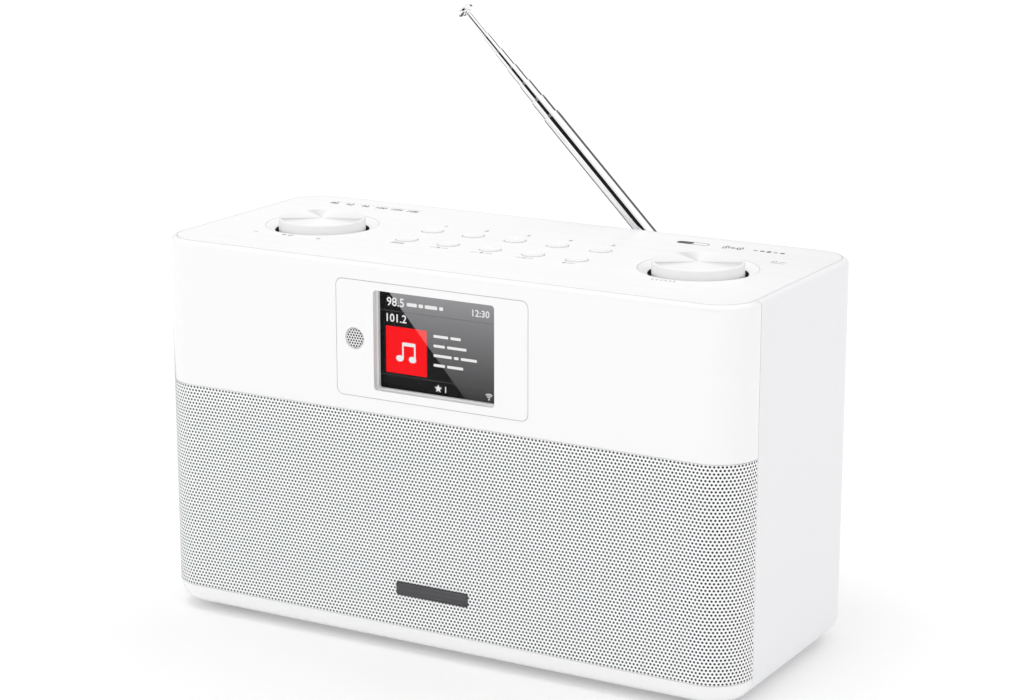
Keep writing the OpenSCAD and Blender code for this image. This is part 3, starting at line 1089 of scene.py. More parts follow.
class Marks(Solid):
    """Flat marks: print on the top plate and lit marks on the screen."""

    thick: float = 0.02 * MM

    def flat(self, outline: Outline, where: Matrix) -> None:
        """Adds a filled outline.

        Args:
            outline: Points in local X and Y, anticlockwise.
            where: Places the local frame.
        """
        self.prism(outline, 0.0, self.thick, where)

    def ring(self, radius: float, width: float, where: Matrix, x: float = 0.0, y: float = 0.0) -> None:
        """Adds a thin ring.

        Args:
            radius: Its outer radius.
            width: Width of the line.
            where: Places the local frame.
            x: Its middle along X.
            y: Its middle along Y.
        """
        self.band(circle(radius, 24, x, y), circle(radius - width, 24, x, y), 0.0, self.thick, where)

    def arc(self, radius: float, width: float, start: float, end: float, where: Matrix) -> None:
        """Adds part of a ring.

        Args:
            radius: Its outer radius.
            width: Width of the line.
            start: First angle in degrees.
            end: Last angle in degrees.
            where: Places the local frame.
        """
        turns = [math.radians(start + (end - start) * k / 10) for k in range(11)]
        outer = [(radius * math.cos(t), radius * math.sin(t)) for t in turns]
        inner = [((radius - width) * math.cos(t), (radius - width) * math.sin(t)) for t in reversed(turns)]
        self.flat(outer + inner, where)

    def bar(self, x: float, y: float, width: float, height: float, where: Matrix) -> None:
        """Adds a bar with round ends.

        Args:
            x: Its middle along X.
            y: Its middle along Y.
            width: Size along X.
            height: Size along Y.
            where: Places the local frame.
        """
        self.flat(rounded(width, height, min(width, height) * 0.3, 3, x, y), where)

    def bar_pair(self, away: float, width: float, where: Matrix) -> None:
        """Adds two thin bars, one at each side.

        Args:
            away: Distance from the middle to each.
            width: Size of each along X.
            where: Places the local frame.
        """
        for x in (away, -away):
            self.bar(x, 0.0, width, 0.4 * MM, where)

    def star(self, radius: float, where: Matrix) -> None:
        """Adds a star with five points.

        Args:
            radius: From its middle to a point.
            where: Places the local frame.
        """
        turns = [math.pi / 2 + math.pi * k / 5 for k in range(10)]
        reach = [radius if k % 2 == 0 else radius * 0.42 for k in range(10)]
        self.flat([(r * math.cos(t), r * math.sin(t)) for r, t in zip(reach, turns)], where)

    def figures(self, text: str, height: float, where: Matrix, bold: float = 0.02) -> None:
        """Adds figures.

        Args:
            text: The figures.
            height: Their height.
            where: Places the local frame.
            bold: How far the strokes are widened, as a part of the height.
        """
        points, faces = digits(text, height, bold)
        start = len(self.verts)
        self.verts.extend(where @ Vector((x, y, self.thick)) for x, y in points)
        self.faces.extend([start + k for k in face] for face in faces)


class Side(Enum):
    """Which of the two knobs."""

    LEFT = "left"
    RIGHT = "right"


@dataclass
class Enclosure:
    """Cabinet, front cover, top plate with its print, rear panel and feet."""

    ink_up: float = 0.005 * MM
    seam: float = 0.3 * MM
    plate_corner: float = 15.1 * MM
    figure_row: float = 22.2 * MM
    symbol_row: float = -18.2 * MM
    knob_row: float = -28.0 * MM
    minus_at: float = -16.3 * MM
    plus_at: float = 16.5 * MM
    arrows_at: float = -2.0 * MM
    list_mark: Pair = (116.5 * MM, 25.5 * MM)
    scale_row: float = 43.6 * MM
    scale_start: float = -114.5 * MM
    scale_pitch: float = 8.4 * MM
    tick_pitch: float = 2.1 * MM
    pill_at: float = 69.0 * MM
    wave_at: Pair = (88.0 * MM, 43.2 * MM)
    level_start: float = 98.5 * MM
    level_pitch: float = 3.1 * MM
    dish: float = 25.2 * MM
    dish_depth: float = 2.35 * MM

    def build(self) -> None:
        """Dresses the shells and prints the top plate."""
        dress(Kit.COVER.value, "front_cover")
        dress(Kit.CABINET.value, "cabinet")
        centres = tuple(tuple(Box.of(f"knob_{side.value}").centre.xy) for side in Side)
        floor = Box.of("top_plate").high.z - self.dish_depth
        # The plate's finish carries painted shade in the knob wells and on the dish rims.
        satin = Plate("top_brushed_white_painted_shade", WHITE, 0.34, 0.0, 0.00001, 0.035)
        dress(replace(satin, centres=centres, dish=self.dish, floor=floor), "top_plate")
        dress(Kit.PANEL.value, "rear_panel")
        dress(Kit.STEEL.value, "rear_screws", "inner_screws", "encoder_nuts", "radio_module")
        dress(Kit.RUBBER.value, "feet")
        self.plate_gasket()
        self.print_keys()
        self.print_knobs()
        self.print_scale()

    def plate_gasket(self) -> None:
        """Builds a grey strip down in the seam round the top plate: painted shade in the gap."""
        box = Box.of("top_plate")
        where = lying(*box.centre.xy, box.high.z)
        grow = (self.seam - 0.02 * MM, 0.02 * MM)
        strip = Solid()
        strip.strip(box.size.xy, self.plate_corner, grow, (-1.2 * MM, -0.1 * MM), 24, where)
        strip.piece("plate_gasket", Kit.GASKET.value, "plate_white", "radio")

    def on_top(self, x: float, y: float) -> Matrix:
        """A frame on the top plate.

        Args:
            x: Distance from the middle along X, in metres.
            y: Distance from the plate's middle along Y, in metres.

        Returns:
            The frame, facing up.
        """
        plate = Box.of("top_plate")
        return lying(plate.centre.x + x, plate.centre.y + y, plate.high.z + self.ink_up)

    def print_keys(self) -> None:
        """Prints a figure behind each rear button and a symbol before each front one."""
        marks = Marks()
        for n in range(1, 6):
            x = Box.of(f"button_{n}").centre.x
            marks.figures(str(n), 2.6 * MM, self.on_top(x, self.figure_row), 0.03)
            spot = self.on_top(x, self.symbol_row)
            if n == 1:
                for k in (-1, 0, 1):
                    marks.bar(0.0, k * 0.8 * MM, 6.5 * MM, 0.32 * MM, spot)
            elif n == 2:
                marks.flat([(-1.0 * MM, -1.0 * MM), (1.0 * MM, 0.0), (-1.0 * MM, 1.0 * MM)], spot)
                marks.bar_pair(3.0 * MM, 3.0 * MM, spot)
            elif n == 3:
                marks.star(1.35 * MM, spot)
                marks.bar_pair(3.6 * MM, 3.4 * MM, spot)
            elif n == 4:
                marks.ring(1.15 * MM, 0.35 * MM, spot)
                marks.bar_pair(-3.0 * MM, 2.6 * MM, spot)
            else:
                marks.flat([(-3.2 * MM, 0.0), (-1.6 * MM, -1.0 * MM), (-1.6 * MM, 1.0 * MM)], spot)
                marks.bar(0.8 * MM, 0.0, 5.2 * MM, 0.4 * MM, spot)
        marks.piece("key_print", Kit.INK.value, "plate_white", "radio")

    def print_knobs(self) -> None:
        """Prints less, more and a speaker at the left knob, and two arrows at the right one."""
        marks = Marks()
        left, right = Box.of("knob_left").centre.x, Box.of("knob_right").centre.x
        row = self.knob_row
        marks.bar(0.0, 0.0, 2.6 * MM, 0.45 * MM, self.on_top(left + self.minus_at, row))
        plus = self.on_top(left + self.plus_at, row)
        marks.bar(0.0, 0.0, 2.4 * MM, 0.45 * MM, plus)
        marks.bar(0.0, 0.0, 0.45 * MM, 2.4 * MM, plus)
        horn = self.on_top(left, row)
        upper = [(-0.5 * MM, 1.2 * MM), (-1.5 * MM, 0.5 * MM), (-2.4 * MM, 0.5 * MM)]
        marks.flat([(x, -y) for x, y in reversed(upper)] + upper, horn)
        for radius in (1.3, 2.2, 3.1):
            marks.arc(radius * MM, 0.35 * MM, -38.0, 38.0, horn)
        turn = self.on_top(right + self.arrows_at, row)
        for side in (-1, 1):
            for k in range(3):
                tip = side * (1.6 + k * 2.0) * MM
                back = tip - side * 0.9 * MM
                stroke = side * 0.5 * MM
                chevron = [(tip, 0.0), (back, 1.0 * MM), (back - stroke, 1.0 * MM),
                           (tip - stroke, 0.0), (back - stroke, -1.0 * MM), (back, -1.0 * MM)]
                marks.flat(chevron if side > 0 else chevron[::-1], turn)
        spot = self.on_top(*self.list_mark)
        marks.ring(1.2 * MM, 0.35 * MM, spot, -1.8 * MM, 1.2 * MM)
        marks.bar(2.0 * MM, 1.2 * MM, 3.4 * MM, 0.4 * MM, spot)
        marks.bar(0.4 * MM, -1.4 * MM, 6.6 * MM, 0.4 * MM, spot)
        marks.piece("knob_print", Kit.INK.value, "plate_white", "radio")

    def print_scale(self) -> None:
        """Prints a small tuning scale at the left rear and two plain symbols at the right rear."""
        marks = Marks()
        for k, text in enumerate(("88", "92", "96", "100", "104", "108")):
            spot = self.on_top(self.scale_start + k * self.scale_pitch, self.scale_row)
            marks.figures(text, 3.0 * MM, spot, 0.03)
        for k in range(22):
            spot = self.on_top(self.scale_start + k * self.tick_pitch, self.scale_row + 3.4 * MM)
            marks.bar(0.0, 0.0, 0.25 * MM, (1.3 if k % 4 == 0 else 0.8) * MM, spot)
        pill = self.on_top(self.pill_at, self.scale_row)
        line = rounded(15.0 * MM, 4.4 * MM, 2.1 * MM)
        marks.band(line, rounded(14.2 * MM, 3.6 * MM, 1.7 * MM), 0.0, marks.thick, pill)
        marks.flat(rounded(7.4 * MM, 4.0 * MM, 1.9 * MM, 6, -3.5 * MM), pill)
        wave = self.on_top(*self.wave_at)
        marks.flat(circle(1.0 * MM, 20), wave)
        for radius in (2.2, 3.4, 4.6):
            marks.arc(radius * MM, 0.5 * MM, -42.0, 42.0, wave)
            marks.arc(radius * MM, 0.5 * MM, 138.0, 222.0, wave)
        for k in range(5):
            x = self.level_start + k * self.level_pitch - wave.translation.x
            marks.bar(x, 0.0, 1.9 * MM, (1.0 + (k % 3) * 0.8) * MM, wave)
        marks.piece("scale_print", Kit.DARK_INK.value, "plate_white", "radio")


@dataclass
class Grille:
    """Punched sheet that wraps the front, the cloth behind it and the blank badge."""

    pitch: float = 1.687 * MM
    hole: float = 0.515 * MM
    depth: float = 0.5 * MM
    sides: int = 8
    border: float = 1.2 * MM
    margin: float = 1.8 * MM
    merge: float = 0.0001 * MM
    box: Box = field(default_factory=lambda: Box.of("grille"))

    def build(self) -> None:
        """Builds the punched sheet and the badge and dresses the cloth."""
        dress(Kit.CLOTH.value, "grille_cloth")
        outers, rings = self.cells()
        self.sheet(outers, rings)
        self.punched_edges(rings)
        self.badge()

    @property
    def radius(self) -> float:
        """Radius of the wrapped corners."""
        return self.box.size.y

    @property
    def span(self) -> float:
        """Length of the sheet laid flat."""
        return math.pi * self.radius + self.box.size.x - 2 * self.radius

    def wrap(self, flat: np.ndarray, inwards: float) -> np.ndarray:
        """Bends flat points round the front.

        Args:
            flat: Rows of distance along the sheet and height.
            inwards: How far behind the outer face they lie.

        Returns:
            Rows of X, Y and Z.
        """
        r, low, high = self.radius, self.box.low, self.box.high
        quarter = math.pi * r / 2
        run = self.box.size.x - 2 * r
        s, z = flat[:, 0], flat[:, 1]
        first = np.minimum(s, quarter)
        last = np.maximum(s - quarter - run, 0.0)
        turn = math.pi + (first + last) / r
        centre = low.x + r + np.clip(s - quarter, 0.0, run)
        x = centre + (r - inwards) * np.cos(turn)
        y = low.y + r + (r - inwards) * np.sin(turn)
        return np.stack([x, y, z], 1)

    def cells(self) -> tuple[list[list[Pair]], list[list[Pair]]]:
        """Lays out one cell round each hole, in rows that are staggered.

        Returns:
            Each cell's outline and each hole's ring, on the flat sheet.
        """
        p, h = self.pitch, self.pitch / math.sqrt(3.0)
        low, high = self.box.low.z, self.box.high.z
        rows = int((high - low - self.border) / (1.5 * h)) + 1
        foot = low + (high - low - (rows - 1) * 1.5 * h) / 2
        count = int((self.span - self.margin) / p) + 1
        side = (self.span - (count - 1) * p) / 2
        outers, rings = [], []
        for j in range(rows):
            z, odd = foot + j * 1.5 * h, j % 2
            top = high if j == rows - 1 else None
            base = low if j == 0 else None
            for i in range(count - odd):
                s = side + (i + odd / 2) * p
                up, down = (top or z + h), (base or z - h)
                left, right = s - p / 2, s + p / 2
                upper, lower = (top or z + h / 2), (base or z - h / 2)
                before = [(left, upper), (left, lower)]
                if i == 0 and odd:
                    before = [(left, upper), (0.0, up), (0.0, down), (left, lower)]
                elif i == 0:
                    before = [(0.0, upper), (0.0, lower)]
                after = [(right, lower), (right, upper)]
                last, end = i == count - odd - 1, self.span
                if last and odd:
                    after = [(right, lower), (end, down), (end, up), (right, upper)]
                elif last:
                    after = [(end, lower), (end, upper)]
                outers.append([(s, up), *before, (s, down), *after])
                rings.append(circle(self.hole, self.sides, s, z, math.pi / 2))
        return outers, rings

    @staticmethod
    def zipper(outer: Outline, ring: Outline) -> list[tuple[int, int, int]]:
        """Triangles between a cell's outline and its hole, both from the top and anticlockwise.

        Args:
            outer: The outline.
            ring: The hole.

        Returns:
            Triples of indices: the outline's points come first, then the ring's.
        """
        cx, cz = sum(p[0] for p in ring) / len(ring), sum(p[1] for p in ring) / len(ring)
        n, m = len(outer), len(ring)

        def turns(points: Outline) -> list[float]:
            """Angles from the top, rising.

            Args:
                points: An outline or a ring.

            Returns:
                Each point's angle, and a full turn at the end.
            """
            found = [(math.atan2(y - cz, x - cx) - math.pi / 2) % TURN for x, y in points]
            found[0] = 0.0
            return [*found, TURN]

        a, b = turns(outer), turns(ring)
        i = j = 0
        made = []
        while i < n or j < m:
            if j >= m or (i < n and a[i + 1] <= b[j + 1]):
                made.append((i % n, (i + 1) % n, n + j % m))
                i += 1
            else:
                made.append((i % n, n + (j + 1) % m, n + j % m))
                j += 1
        return made

    def sheet(self, outers: list[list[Pair]], rings: list[list[Pair]]) -> None:
        """Builds the sheet's outer face.

        Args:
            outers: Each cell's outline.
            rings: Each hole's ring.
        """
        flat: list[Pair] = []
        faces: list[tuple[int, int, int]] = []
        for outer, ring in zip(outers, rings):
            start = len(flat)
            flat += outer + ring
            faces += [tuple(start + k for k in tri) for tri in self.zipper(outer, ring)]
        keys = np.round(np.array(flat) / self.merge).astype(np.int64)
        _, first, where = np.unique(keys, axis=0, return_index=True, return_inverse=True)
        points = self.wrap(np.array(flat)[first], 0.0)
        joined = np.asarray(where).reshape(-1)[np.array(faces)].tolist()
        finish = Kit.GRILLE.value
        add_piece("grille_sheet", points, joined, finish, "radio", ["grille"], 60.0)

    def punched_edges(self, rings: list[list[Pair]]) -> None:
        """Builds the walls of the holes, dark grey as painted shade inside them.

        Args:
            rings: Each hole's ring.
        """
        flat = np.array(rings).reshape(-1, 2)
        points = np.concatenate([self.wrap(flat, 0.0), self.wrap(flat, self.depth)])
        behind, faces = len(flat), []
        for start in range(0, len(flat), self.sides):
            for k in range(self.sides):
                a, b = start + k, start + (k + 1) % self.sides
                faces.append((a, b, b + behind, a + behind))
        # The hole walls are dark grey: painted shade.
        add_piece("grille_hole_walls_painted_shade", points, faces, Kit.PUNCHED.value, "radio", (), 80.0)

    def badge(self) -> None:
        """Builds the blank plate with a raised border."""
        box = Box.of("badge")
        where = facing_front(box.centre.x, box.high.y, box.centre.z)
        w, h, t = box.size.x, box.size.z, box.size.y
        rings = []
        for i, high in ((0.0, 0.0), (0.0, 0.7), (0.12, 0.92), (0.3, 1.0), (0.6, 1.0), (0.75, 0.7)):
            line = rounded(w - 2 * i * MM, h - 2 * i * MM, (1.0 - i * 0.8) * MM)
            rings.append([where @ Vector((x, y, t * high)) for x, y in line])
        plate = Solid()
        plate.loft(rings)
        plate.piece("blank_badge", Kit.BADGE.value, "badge_dark", "radio", "badge")


@dataclass
class Display:
    """White bezel, clear window, lit panel with painted glare, and the round sensor mesh."""

    inset: Pair = (2.5 * MM, 2.0 * MM)
    bezel_lip: Pair = (2.0 * MM, 1.5 * MM)
    hidden: Pair = (3.4 * MM, 1.7 * MM)
    tile: Sequence[float] = (0.045, 0.345, 0.365, 0.485)
    mesh_pitch: float = 1.3 * MM
    mesh_hole: float = 0.46 * MM

    def build(self) -> None:
        """Dresses the nodes and builds the screen's marks and the mesh."""
        dress(Kit.BEZEL.value, "bezel")
        dress(Kit.TRAY.value, "display_holder")
        dress(Kit.PANE.value, "display_window")
        box = Box.of("display_window")
        self.left = box.low.x + self.inset[0]
        self.right = box.high.x - self.inset[0] - self.hidden[0]
        self.top = box.high.z - self.inset[1] - self.hidden[1]
        self.bottom = box.low.z + self.inset[1]
        self.face = Box.of("display_panel").low.y
        self.wide, self.tall = self.right - self.left, self.top - self.bottom
        corner = (self.left + 0.08 * self.wide, self.top)
        slope = 0.67 * self.wide / self.tall
        # The screen's dark tone with a slanted field of painted glare.
        glare_screen = Screen("screen_painted_glare", corner=corner, slope=slope, tall=self.tall)
        dress(glare_screen, "display_panel")
        # The red tile's own tone, then the top and foot tones of its painted glare.
        reds = ((1.1, 0.002, 0.006), (1.15, 0.15, 0.15), (1.1, 0.09, 0.09))
        red = Screen("screen_red_painted_glare", *reds, corner, slope, self.tall)
        tile = Marks()
        across, down, wide, tall = self.tile
        outline = rounded(wide * self.wide, tall * self.tall, 0.4 * MM, 4)
        tile.flat(outline, self.at(across + wide / 2, down + tall / 2, 0.02))
        tile.piece("screen_tile", red, "screen", "radio").visible_diffuse = False
        self.lit_marks()
        self.lit_lines()
        self.bezel_gasket()
        self.window_step()
        self.sensor()

    def at(self, across: float, down: float, lift: float = 0.04) -> Matrix:
        """A frame on the lit panel.

        Args:
            across: Part of the width from the left.
            down: Part of the height from the top.
            lift: Distance in front of the panel in millimetres.

        Returns:
            The frame, facing the front.
        """
        x, z = self.left + across * self.wide, self.top - down * self.tall
        return facing_front(x, self.face - lift * MM, z)

    def lit_marks(self) -> None:
        """Builds the white marks: figures, a note, bars of plain copy, a star and a signal fan."""
        marks = Marks()
        marks.figures("98.5", 3.7 * MM, self.at(0.135, 0.095))
        marks.figures("12:30", 2.9 * MM, self.at(0.88, 0.1))
        for x, w in ((0.28, 0.09), (0.36, 0.04), (0.45, 0.11), (0.54, 0.035)):
            marks.bar(0.0, 0.0, w * self.wide, 1.5 * MM, self.at(x, 0.1))
        marks.figures("101.2", 3.5 * MM, self.at(0.135, 0.262))
        lines = ((0.39, (0.13, 0.09)), (0.49, (0.1, 0.17)), (0.59, (0.16, 0.04, 0.14)), (0.69, (0.1, 0.14)))
        for down, words in lines:
            x = 0.47
            for w in words:
                marks.bar(w * self.wide / 2, 0.0, w * self.wide, 1.15 * MM, self.at(x, down))
                x += w + 0.02
        marks.star(1.9 * MM, self.at(0.51, 0.93))
        marks.figures("1", 2.6 * MM, self.at(0.575, 0.935))
        fan = self.at(0.955, 0.965)
        marks.flat(circle(0.35 * MM, 12), fan)
        for radius in (1.1, 1.8, 2.5):
            marks.arc(radius * MM, 0.32 * MM, 48.0, 132.0, fan)
        note = self.at(0.225, 0.6)
        for side in (-1, 1):
            head = circle(1.35 * MM, 20, side * 2.3 * MM, -2.9 * MM)
            marks.flat([(x * 1.35, y) for x, y in head], note)
            marks.bar(side * 2.9 * MM + 1.35 * MM, 0.4 * MM, 0.75 * MM, 6.8 * MM, note)
        marks.bar(1.35 * MM, 3.4 * MM, 6.5 * MM, 1.5 * MM, note)
        marks.piece("screen_marks", Kit.LIT_WHITE.value, "screen", "radio")

    def lit_lines(self) -> None:
        """Builds the two faint rules across the screen."""
        marks = Marks()
        for down in (0.185, 0.855):
            marks.bar(self.wide / 2, 0.0, self.wide * 1.05, 0.16 * MM, self.at(0.0, down, 0.03))
        marks.piece("screen_rules", Kit.LIT_GREY.value, "screen", "radio")

    def bezel_gasket(self) -> None:
        """Builds a grey strip down in the seam round the bezel: painted shade in the gap."""
        box = Box.of("bezel")
        size = (box.size.x - 2 * self.bezel_lip[0], box.size.z - 2 * self.bezel_lip[1])
        where = facing_front(box.centre.x, box.low.y, box.centre.z)
        strip = Solid()
        strip.strip(size, 3.0 * MM, (0.23 * MM, 0.02 * MM), (-0.9 * MM, -0.1 * MM), 10, where)
        strip.piece("bezel_gasket", Kit.GASKET.value, "bezel_white", "radio")

    def window_step(self) -> None:
        """Builds the narrow step inside the window opening."""
        box = Box.of("display_window")
        size = (box.size.x - 2 * self.inset[0], box.size.z - 2 * self.inset[1])
        where = facing_front(box.centre.x, box.low.y, box.centre.z)
        step = Solid()
        step.strip(size, 1.5 * MM, (-0.02 * MM, -0.45 * MM), (0.05 * MM, 1.7 * MM), 6, where)
        step.piece("window_step", Kit.BEZEL.value, "bezel_white", "radio")

    def sensor(self) -> None:
        """Builds the round punched mesh over a dark pad."""
        box = Box.of("sensor_mesh")
        radius = box.size.x / 2
        where = facing_front(box.centre.x, box.high.y, box.centre.z)
        pad = Solid()
        hub, rim, thin = 0.2 * MM, radius - 0.05 * MM, 0.12 * MM
        pad.revolve([(hub, 0.0), (rim, 0.0), (rim, thin), (hub, thin)], 40, where)
        pad.piece("sensor_pad", Kit.CLOTH.value, "mesh_dark", "radio")
        mesh = Solid()
        pitch, thick = self.mesh_pitch, box.size.y
        reach = range(-6, 7)
        for row in reach:
            for col in reach:
                x = (col + (row % 2) / 2) * pitch
                y = row * pitch * math.sqrt(3) / 2
                if math.hypot(x, y) > radius - 0.25 * MM:
                    continue
                corners = circle(pitch / math.sqrt(3), 6, x, y, math.pi / 2)
                cell = []
                for (ax, ay), (bx, by) in zip(corners, corners[1:] + corners[:1]):
                    cell += [(ax, ay), ((ax + bx) / 2, (ay + by) / 2)]
                hole = circle(self.mesh_hole, 12, x, y, math.pi / 2)
                mesh.band(cell, hole, thick - 0.14 * MM, thick, where)
        rim, lip = circle(radius, 60), circle(radius - 0.3 * MM, 60)
        mesh.band(rim, lip, thick - 0.35 * MM, thick + 0.02 * MM, where)
        mesh.piece("sensor_grid", Kit.MESH.value, "mesh_dark", "radio", "sensor_mesh")


@dataclass
class Knob:
    """A round knob with a spun top."""

    side: Side
    steps: int = 160

    def build(self) -> None:
        """Builds the knob and dresses its shaft, encoder and slider."""
        name = self.side.value
        box = Box.of(f"knob_{name}")
        r, low, high = box.size.x / 2, box.low.z, box.high.z
        where = lying(*box.centre.xy, 0.0)
        edge = 0.55 * MM
        profile = [(r - 1.6 * MM, low), (r - 0.4 * MM, low), (r - 0.1 * MM, low + 0.3 * MM)]
        profile += [(r - 0.02 * MM, high - edge - 0.6 * MM), *quarter_round(r, edge, high, 8)]
        profile += [(r - 0.9 * MM, high), (r - 1.0 * MM, high - 0.08 * MM), (r - 1.5 * MM, high - 0.1 * MM)]
        profile += [(r * k, high - 0.1 * MM - (1 - k) * 0.18 * MM) for k in (0.85, 0.6, 0.35, 0.12, 0.02)]
        knob = Solid()
        knob.revolve(profile, self.steps, where)
        centre = tuple(box.centre.xy)
        # Its top carries wedges of painted reflection.
        spun = Spun(f"knob_spun_painted_reflection_{name}", centre=centre, top=high - 0.5 * MM, radius=r - 0.95 * MM)
        knob.piece(f"{name}_knob", spun, "knob_white", f"turn_{name}", f"knob_{name}")
        dress(Kit.ENCODER.value, f"encoder_{name}", f"shaft_{name}")
        dress(Kit.NYLON.value, f"slider_{name}")


@dataclass
class Buttons:
    """Ten round buttons with dished tops."""

    steps: int = 72
    stem: float = 1.9 * MM
    rim: float = 1.0 * MM
    above_flange: float = 4.6 * MM
    dish: float = 0.34 * MM

    def build(self) -> None:
        """Builds each button with a soft edge, a shallow dish and a raised nib."""
        for n in range(1, 11):
            box = Box.of(f"button_{n}")
            r = box.size.x / 2 - self.rim
            high, low = box.high.z, box.low.z
            flange, wide = high - self.above_flange, r + self.rim
            profile = [(self.stem, low), (self.stem, flange), (wide, flange)]
            profile += [(wide, flange + 1.2 * MM), (r, flange + 1.25 * MM)]
            profile += quarter_round(r, 0.3 * MM, high, 6)
            for k in (0.86, 0.7, 0.5, 0.3, 0.12, 0.03):
                profile.append((r * k, high - self.dish * (1 - (k / 0.93) ** 2)))
            button = Solid()
            button.revolve(profile, self.steps, lying(*box.centre.xy, 0.0))
            nib = lying(box.centre.x, box.centre.y + r * 0.62, high - 0.26 * MM)
            dome = ((0.5, 0.0), (0.42, 0.16), (0.25, 0.25), (0.05, 0.28))
            button.revolve([(reach * MM, up * MM) for reach, up in dome], 16, nib)
            button.piece(f"round_button_{n}", Kit.BUTTON.value, "button_white", f"key_{n}", f"button_{n}")


@dataclass
class Inside:
    """Boards, sockets and loudspeakers."""

    def build(self) -> None:
        """Dresses the inner nodes and lines the sockets."""
        dress(Kit.BOARD.value, "control_board", "main_board")
        dress(Kit.BLACK.value, "key_switches", "dc_inlet", "aux_jack", "headphone_jack")
        dress(Kit.FINS.value, "heat_sink")
        dress(Kit.BAFFLE.value, "baffle")
        for side in Side:
            dress(Kit.BASKET.value, f"basket_{side.value}")
            dress(Kit.MAGNET.value, f"magnet_{side.value}")
            dress(Kit.CONE.value, f"cone_{side.value}")
        self.socket_rings()

    def socket_rings(self) -> None:
        """Builds the plated ring round each audio socket's mouth."""
        mounts = {m["name"]: m for m in frame["record"]["mounts"]}
        for node, name in (("aux_jack", "aux_in"), ("headphone_jack", "headphones")):
            box, mount = Box.of(node), mounts[name]
            bore = mount["dims"]["r_mm"] * MM
            where = facing_front(box.centre.x, box.high.y, mount["pos_m"][2])
            ring = Solid()
            ring.band(circle(bore + 0.9 * MM, 40), circle(bore + 0.05 * MM, 40), -0.12 * MM, 0.3 * MM, where)
            ring.piece(f"{node}_ring", Kit.STEEL.value, "steel", "radio")


@dataclass
class Aerial:
    """Telescopic aerial: swivel, knuckle, tubes with rolled ends, and cap."""

    steps: int = 48
    tubes: int = 7

    def build(self) -> None:
        """Dresses the joint's parts and builds the tubes and cap."""
        dress(Kit.CHROME.value, "aerial_swivel", "aerial_pin", "aerial_knuckle")
        joints = {j["name"]: j for j in frame["record"]["behaviour"]["joints"]}
        pivot = Vector(joints["aerial_fold"]["pos_m"])
        along = Vector(joints["aerial_draw_2"]["axis"]).normalized()
        self.where = Matrix.Translation(pivot) @ along.to_track_quat("Z", "X").to_matrix().to_4x4()
        for n in range(1, self.tubes + 1):
            self.tube(n)
        self.cap()

    def reach(self, node: str) -> tuple[float, float, float]:
        """How a node lies along the aerial.

        Args:
            node: The node's name.

        Returns:
            Where it starts, where it ends, and its radius.
        """
        back = self.where.inverted()
        points = [back @ v.co for v in frame["nodes"][node].data.vertices]
        heights = [p.z for p in points]
        return min(heights), max(heights), max(math.hypot(p.x, p.y) for p in points)

    def tube(self, n: int) -> None:
        """Builds one tube with a rolled lip and a fine groove behind it.

        Args:
            n: Its number, counted from the widest.
        """
        start, end, r = self.reach(f"aerial_tube_{n}")
        hollow = n < self.tubes
        inner = self.reach(f"aerial_tube_{n + 1}")[2] + 0.06 * MM if hollow else 0.1 * MM
        lip = min(0.35 * MM, (r - inner) * 0.9) if hollow else 0.2 * MM
        body = Solid(12.0)
        groove = r - 0.05 * MM
        profile = [(inner, start), (r, start), (r, start + 0.6 * MM), (r, end - lip - 0.9 * MM)]
        profile += [(groove, end - lip - 0.8 * MM), (groove, end - lip - 0.6 * MM)]
        profile += [(r, end - lip - 0.5 * MM), (r, end - lip)]
        profile += quarter_round(r, lip, end, 5, 1)
        if hollow:
            profile += [(inner, end), (inner, start)]
        body.revolve(profile, self.steps, self.where, caps=not hollow)
        moves_with = "aerial_arm" if n == 1 else f"aerial_{n}"
        body.piece(f"aerial_section_{n}", Kit.CHROME.value, "aerial_chrome", moves_with, f"aerial_tube_{n}")

    def cap(self) -> None:
        """Builds the button at the tip with a turned collar."""
        start, end, r = self.reach("aerial_cap")
        tall = end - start
        rounding = ((0.6, 0.3), (0.15, 0.38), (0.0, 0.5), (0.0, 0.72), (0.15, 0.86), (0.55, 0.96), (1.4, 1.0))
        profile = [(1.3 * MM, start), (2.0 * MM, start + 0.1 * tall), (2.0 * MM, start + 0.24 * tall)]
        profile += [(r - cut * MM, start + part * tall) for cut, part in rounding]
        profile.append((0.1 * MM, end))
        cap = Solid(25.0)
        cap.revolve(profile, self.steps, self.where)
        cap.piece("aerial_tip", Kit.CHROME.value, "aerial_chrome", "aerial_7", "aerial_cap")


@dataclass(frozen=True)
class Lamp:
    """A soft rectangular lamp."""

    name: str
    place: tuple[float, float, float]
    aim: tuple[float, float, float]
    size: Pair
    power: float

    def build(self) -> None:
        """Adds the lamp."""
        light = bpy.data.lights.new(self.name, "AREA")
        light.shape = "RECTANGLE"
        light.size, light.size_y = self.size
        light.energy = self.power
        holder = bpy.data.objects.new(self.name, light)
        holder.location = self.place
        holder.rotation_euler = (Vector(self.aim) - Vector(self.place)).to_track_quat("-Z", "Y").to_euler()
        holder.visible_glossy = False
        bpy.context.scene.collection.objects.link(holder)


class Shine(Enum):
    """How bright a card looks in the chrome."""

    BLACK = Lit("card_black", (0.001, 0.001, 0.001))
    GREY = Lit("card_grey", (0.13, 0.13, 0.13))
    WHITE = Lit("card_white", (1.25, 1.25, 1.25))


@dataclass(frozen=True)
class Card:
    """A flat card that the chrome reflects."""

    name: str
    toward: tuple[float, float, float]
    distance: float
    size: Pair
    shine: Shine

    def facing(self, middle: Vector) -> Matrix:
        """Turns the card to face the aerial, with its first side across the aerial's length.

        Args:
            middle: The aerial's middle.

        Returns:
            The card's place.
        """
        toward = Vector(self.toward).normalized()
        aerial = Vector((-1.0, 0.0, 1.0))
        across = aerial.cross(toward).normalized()
        turn = Matrix((across, toward.cross(across), toward)).transposed()
        return Matrix.Translation(middle + toward * self.distance) @ turn.to_4x4()


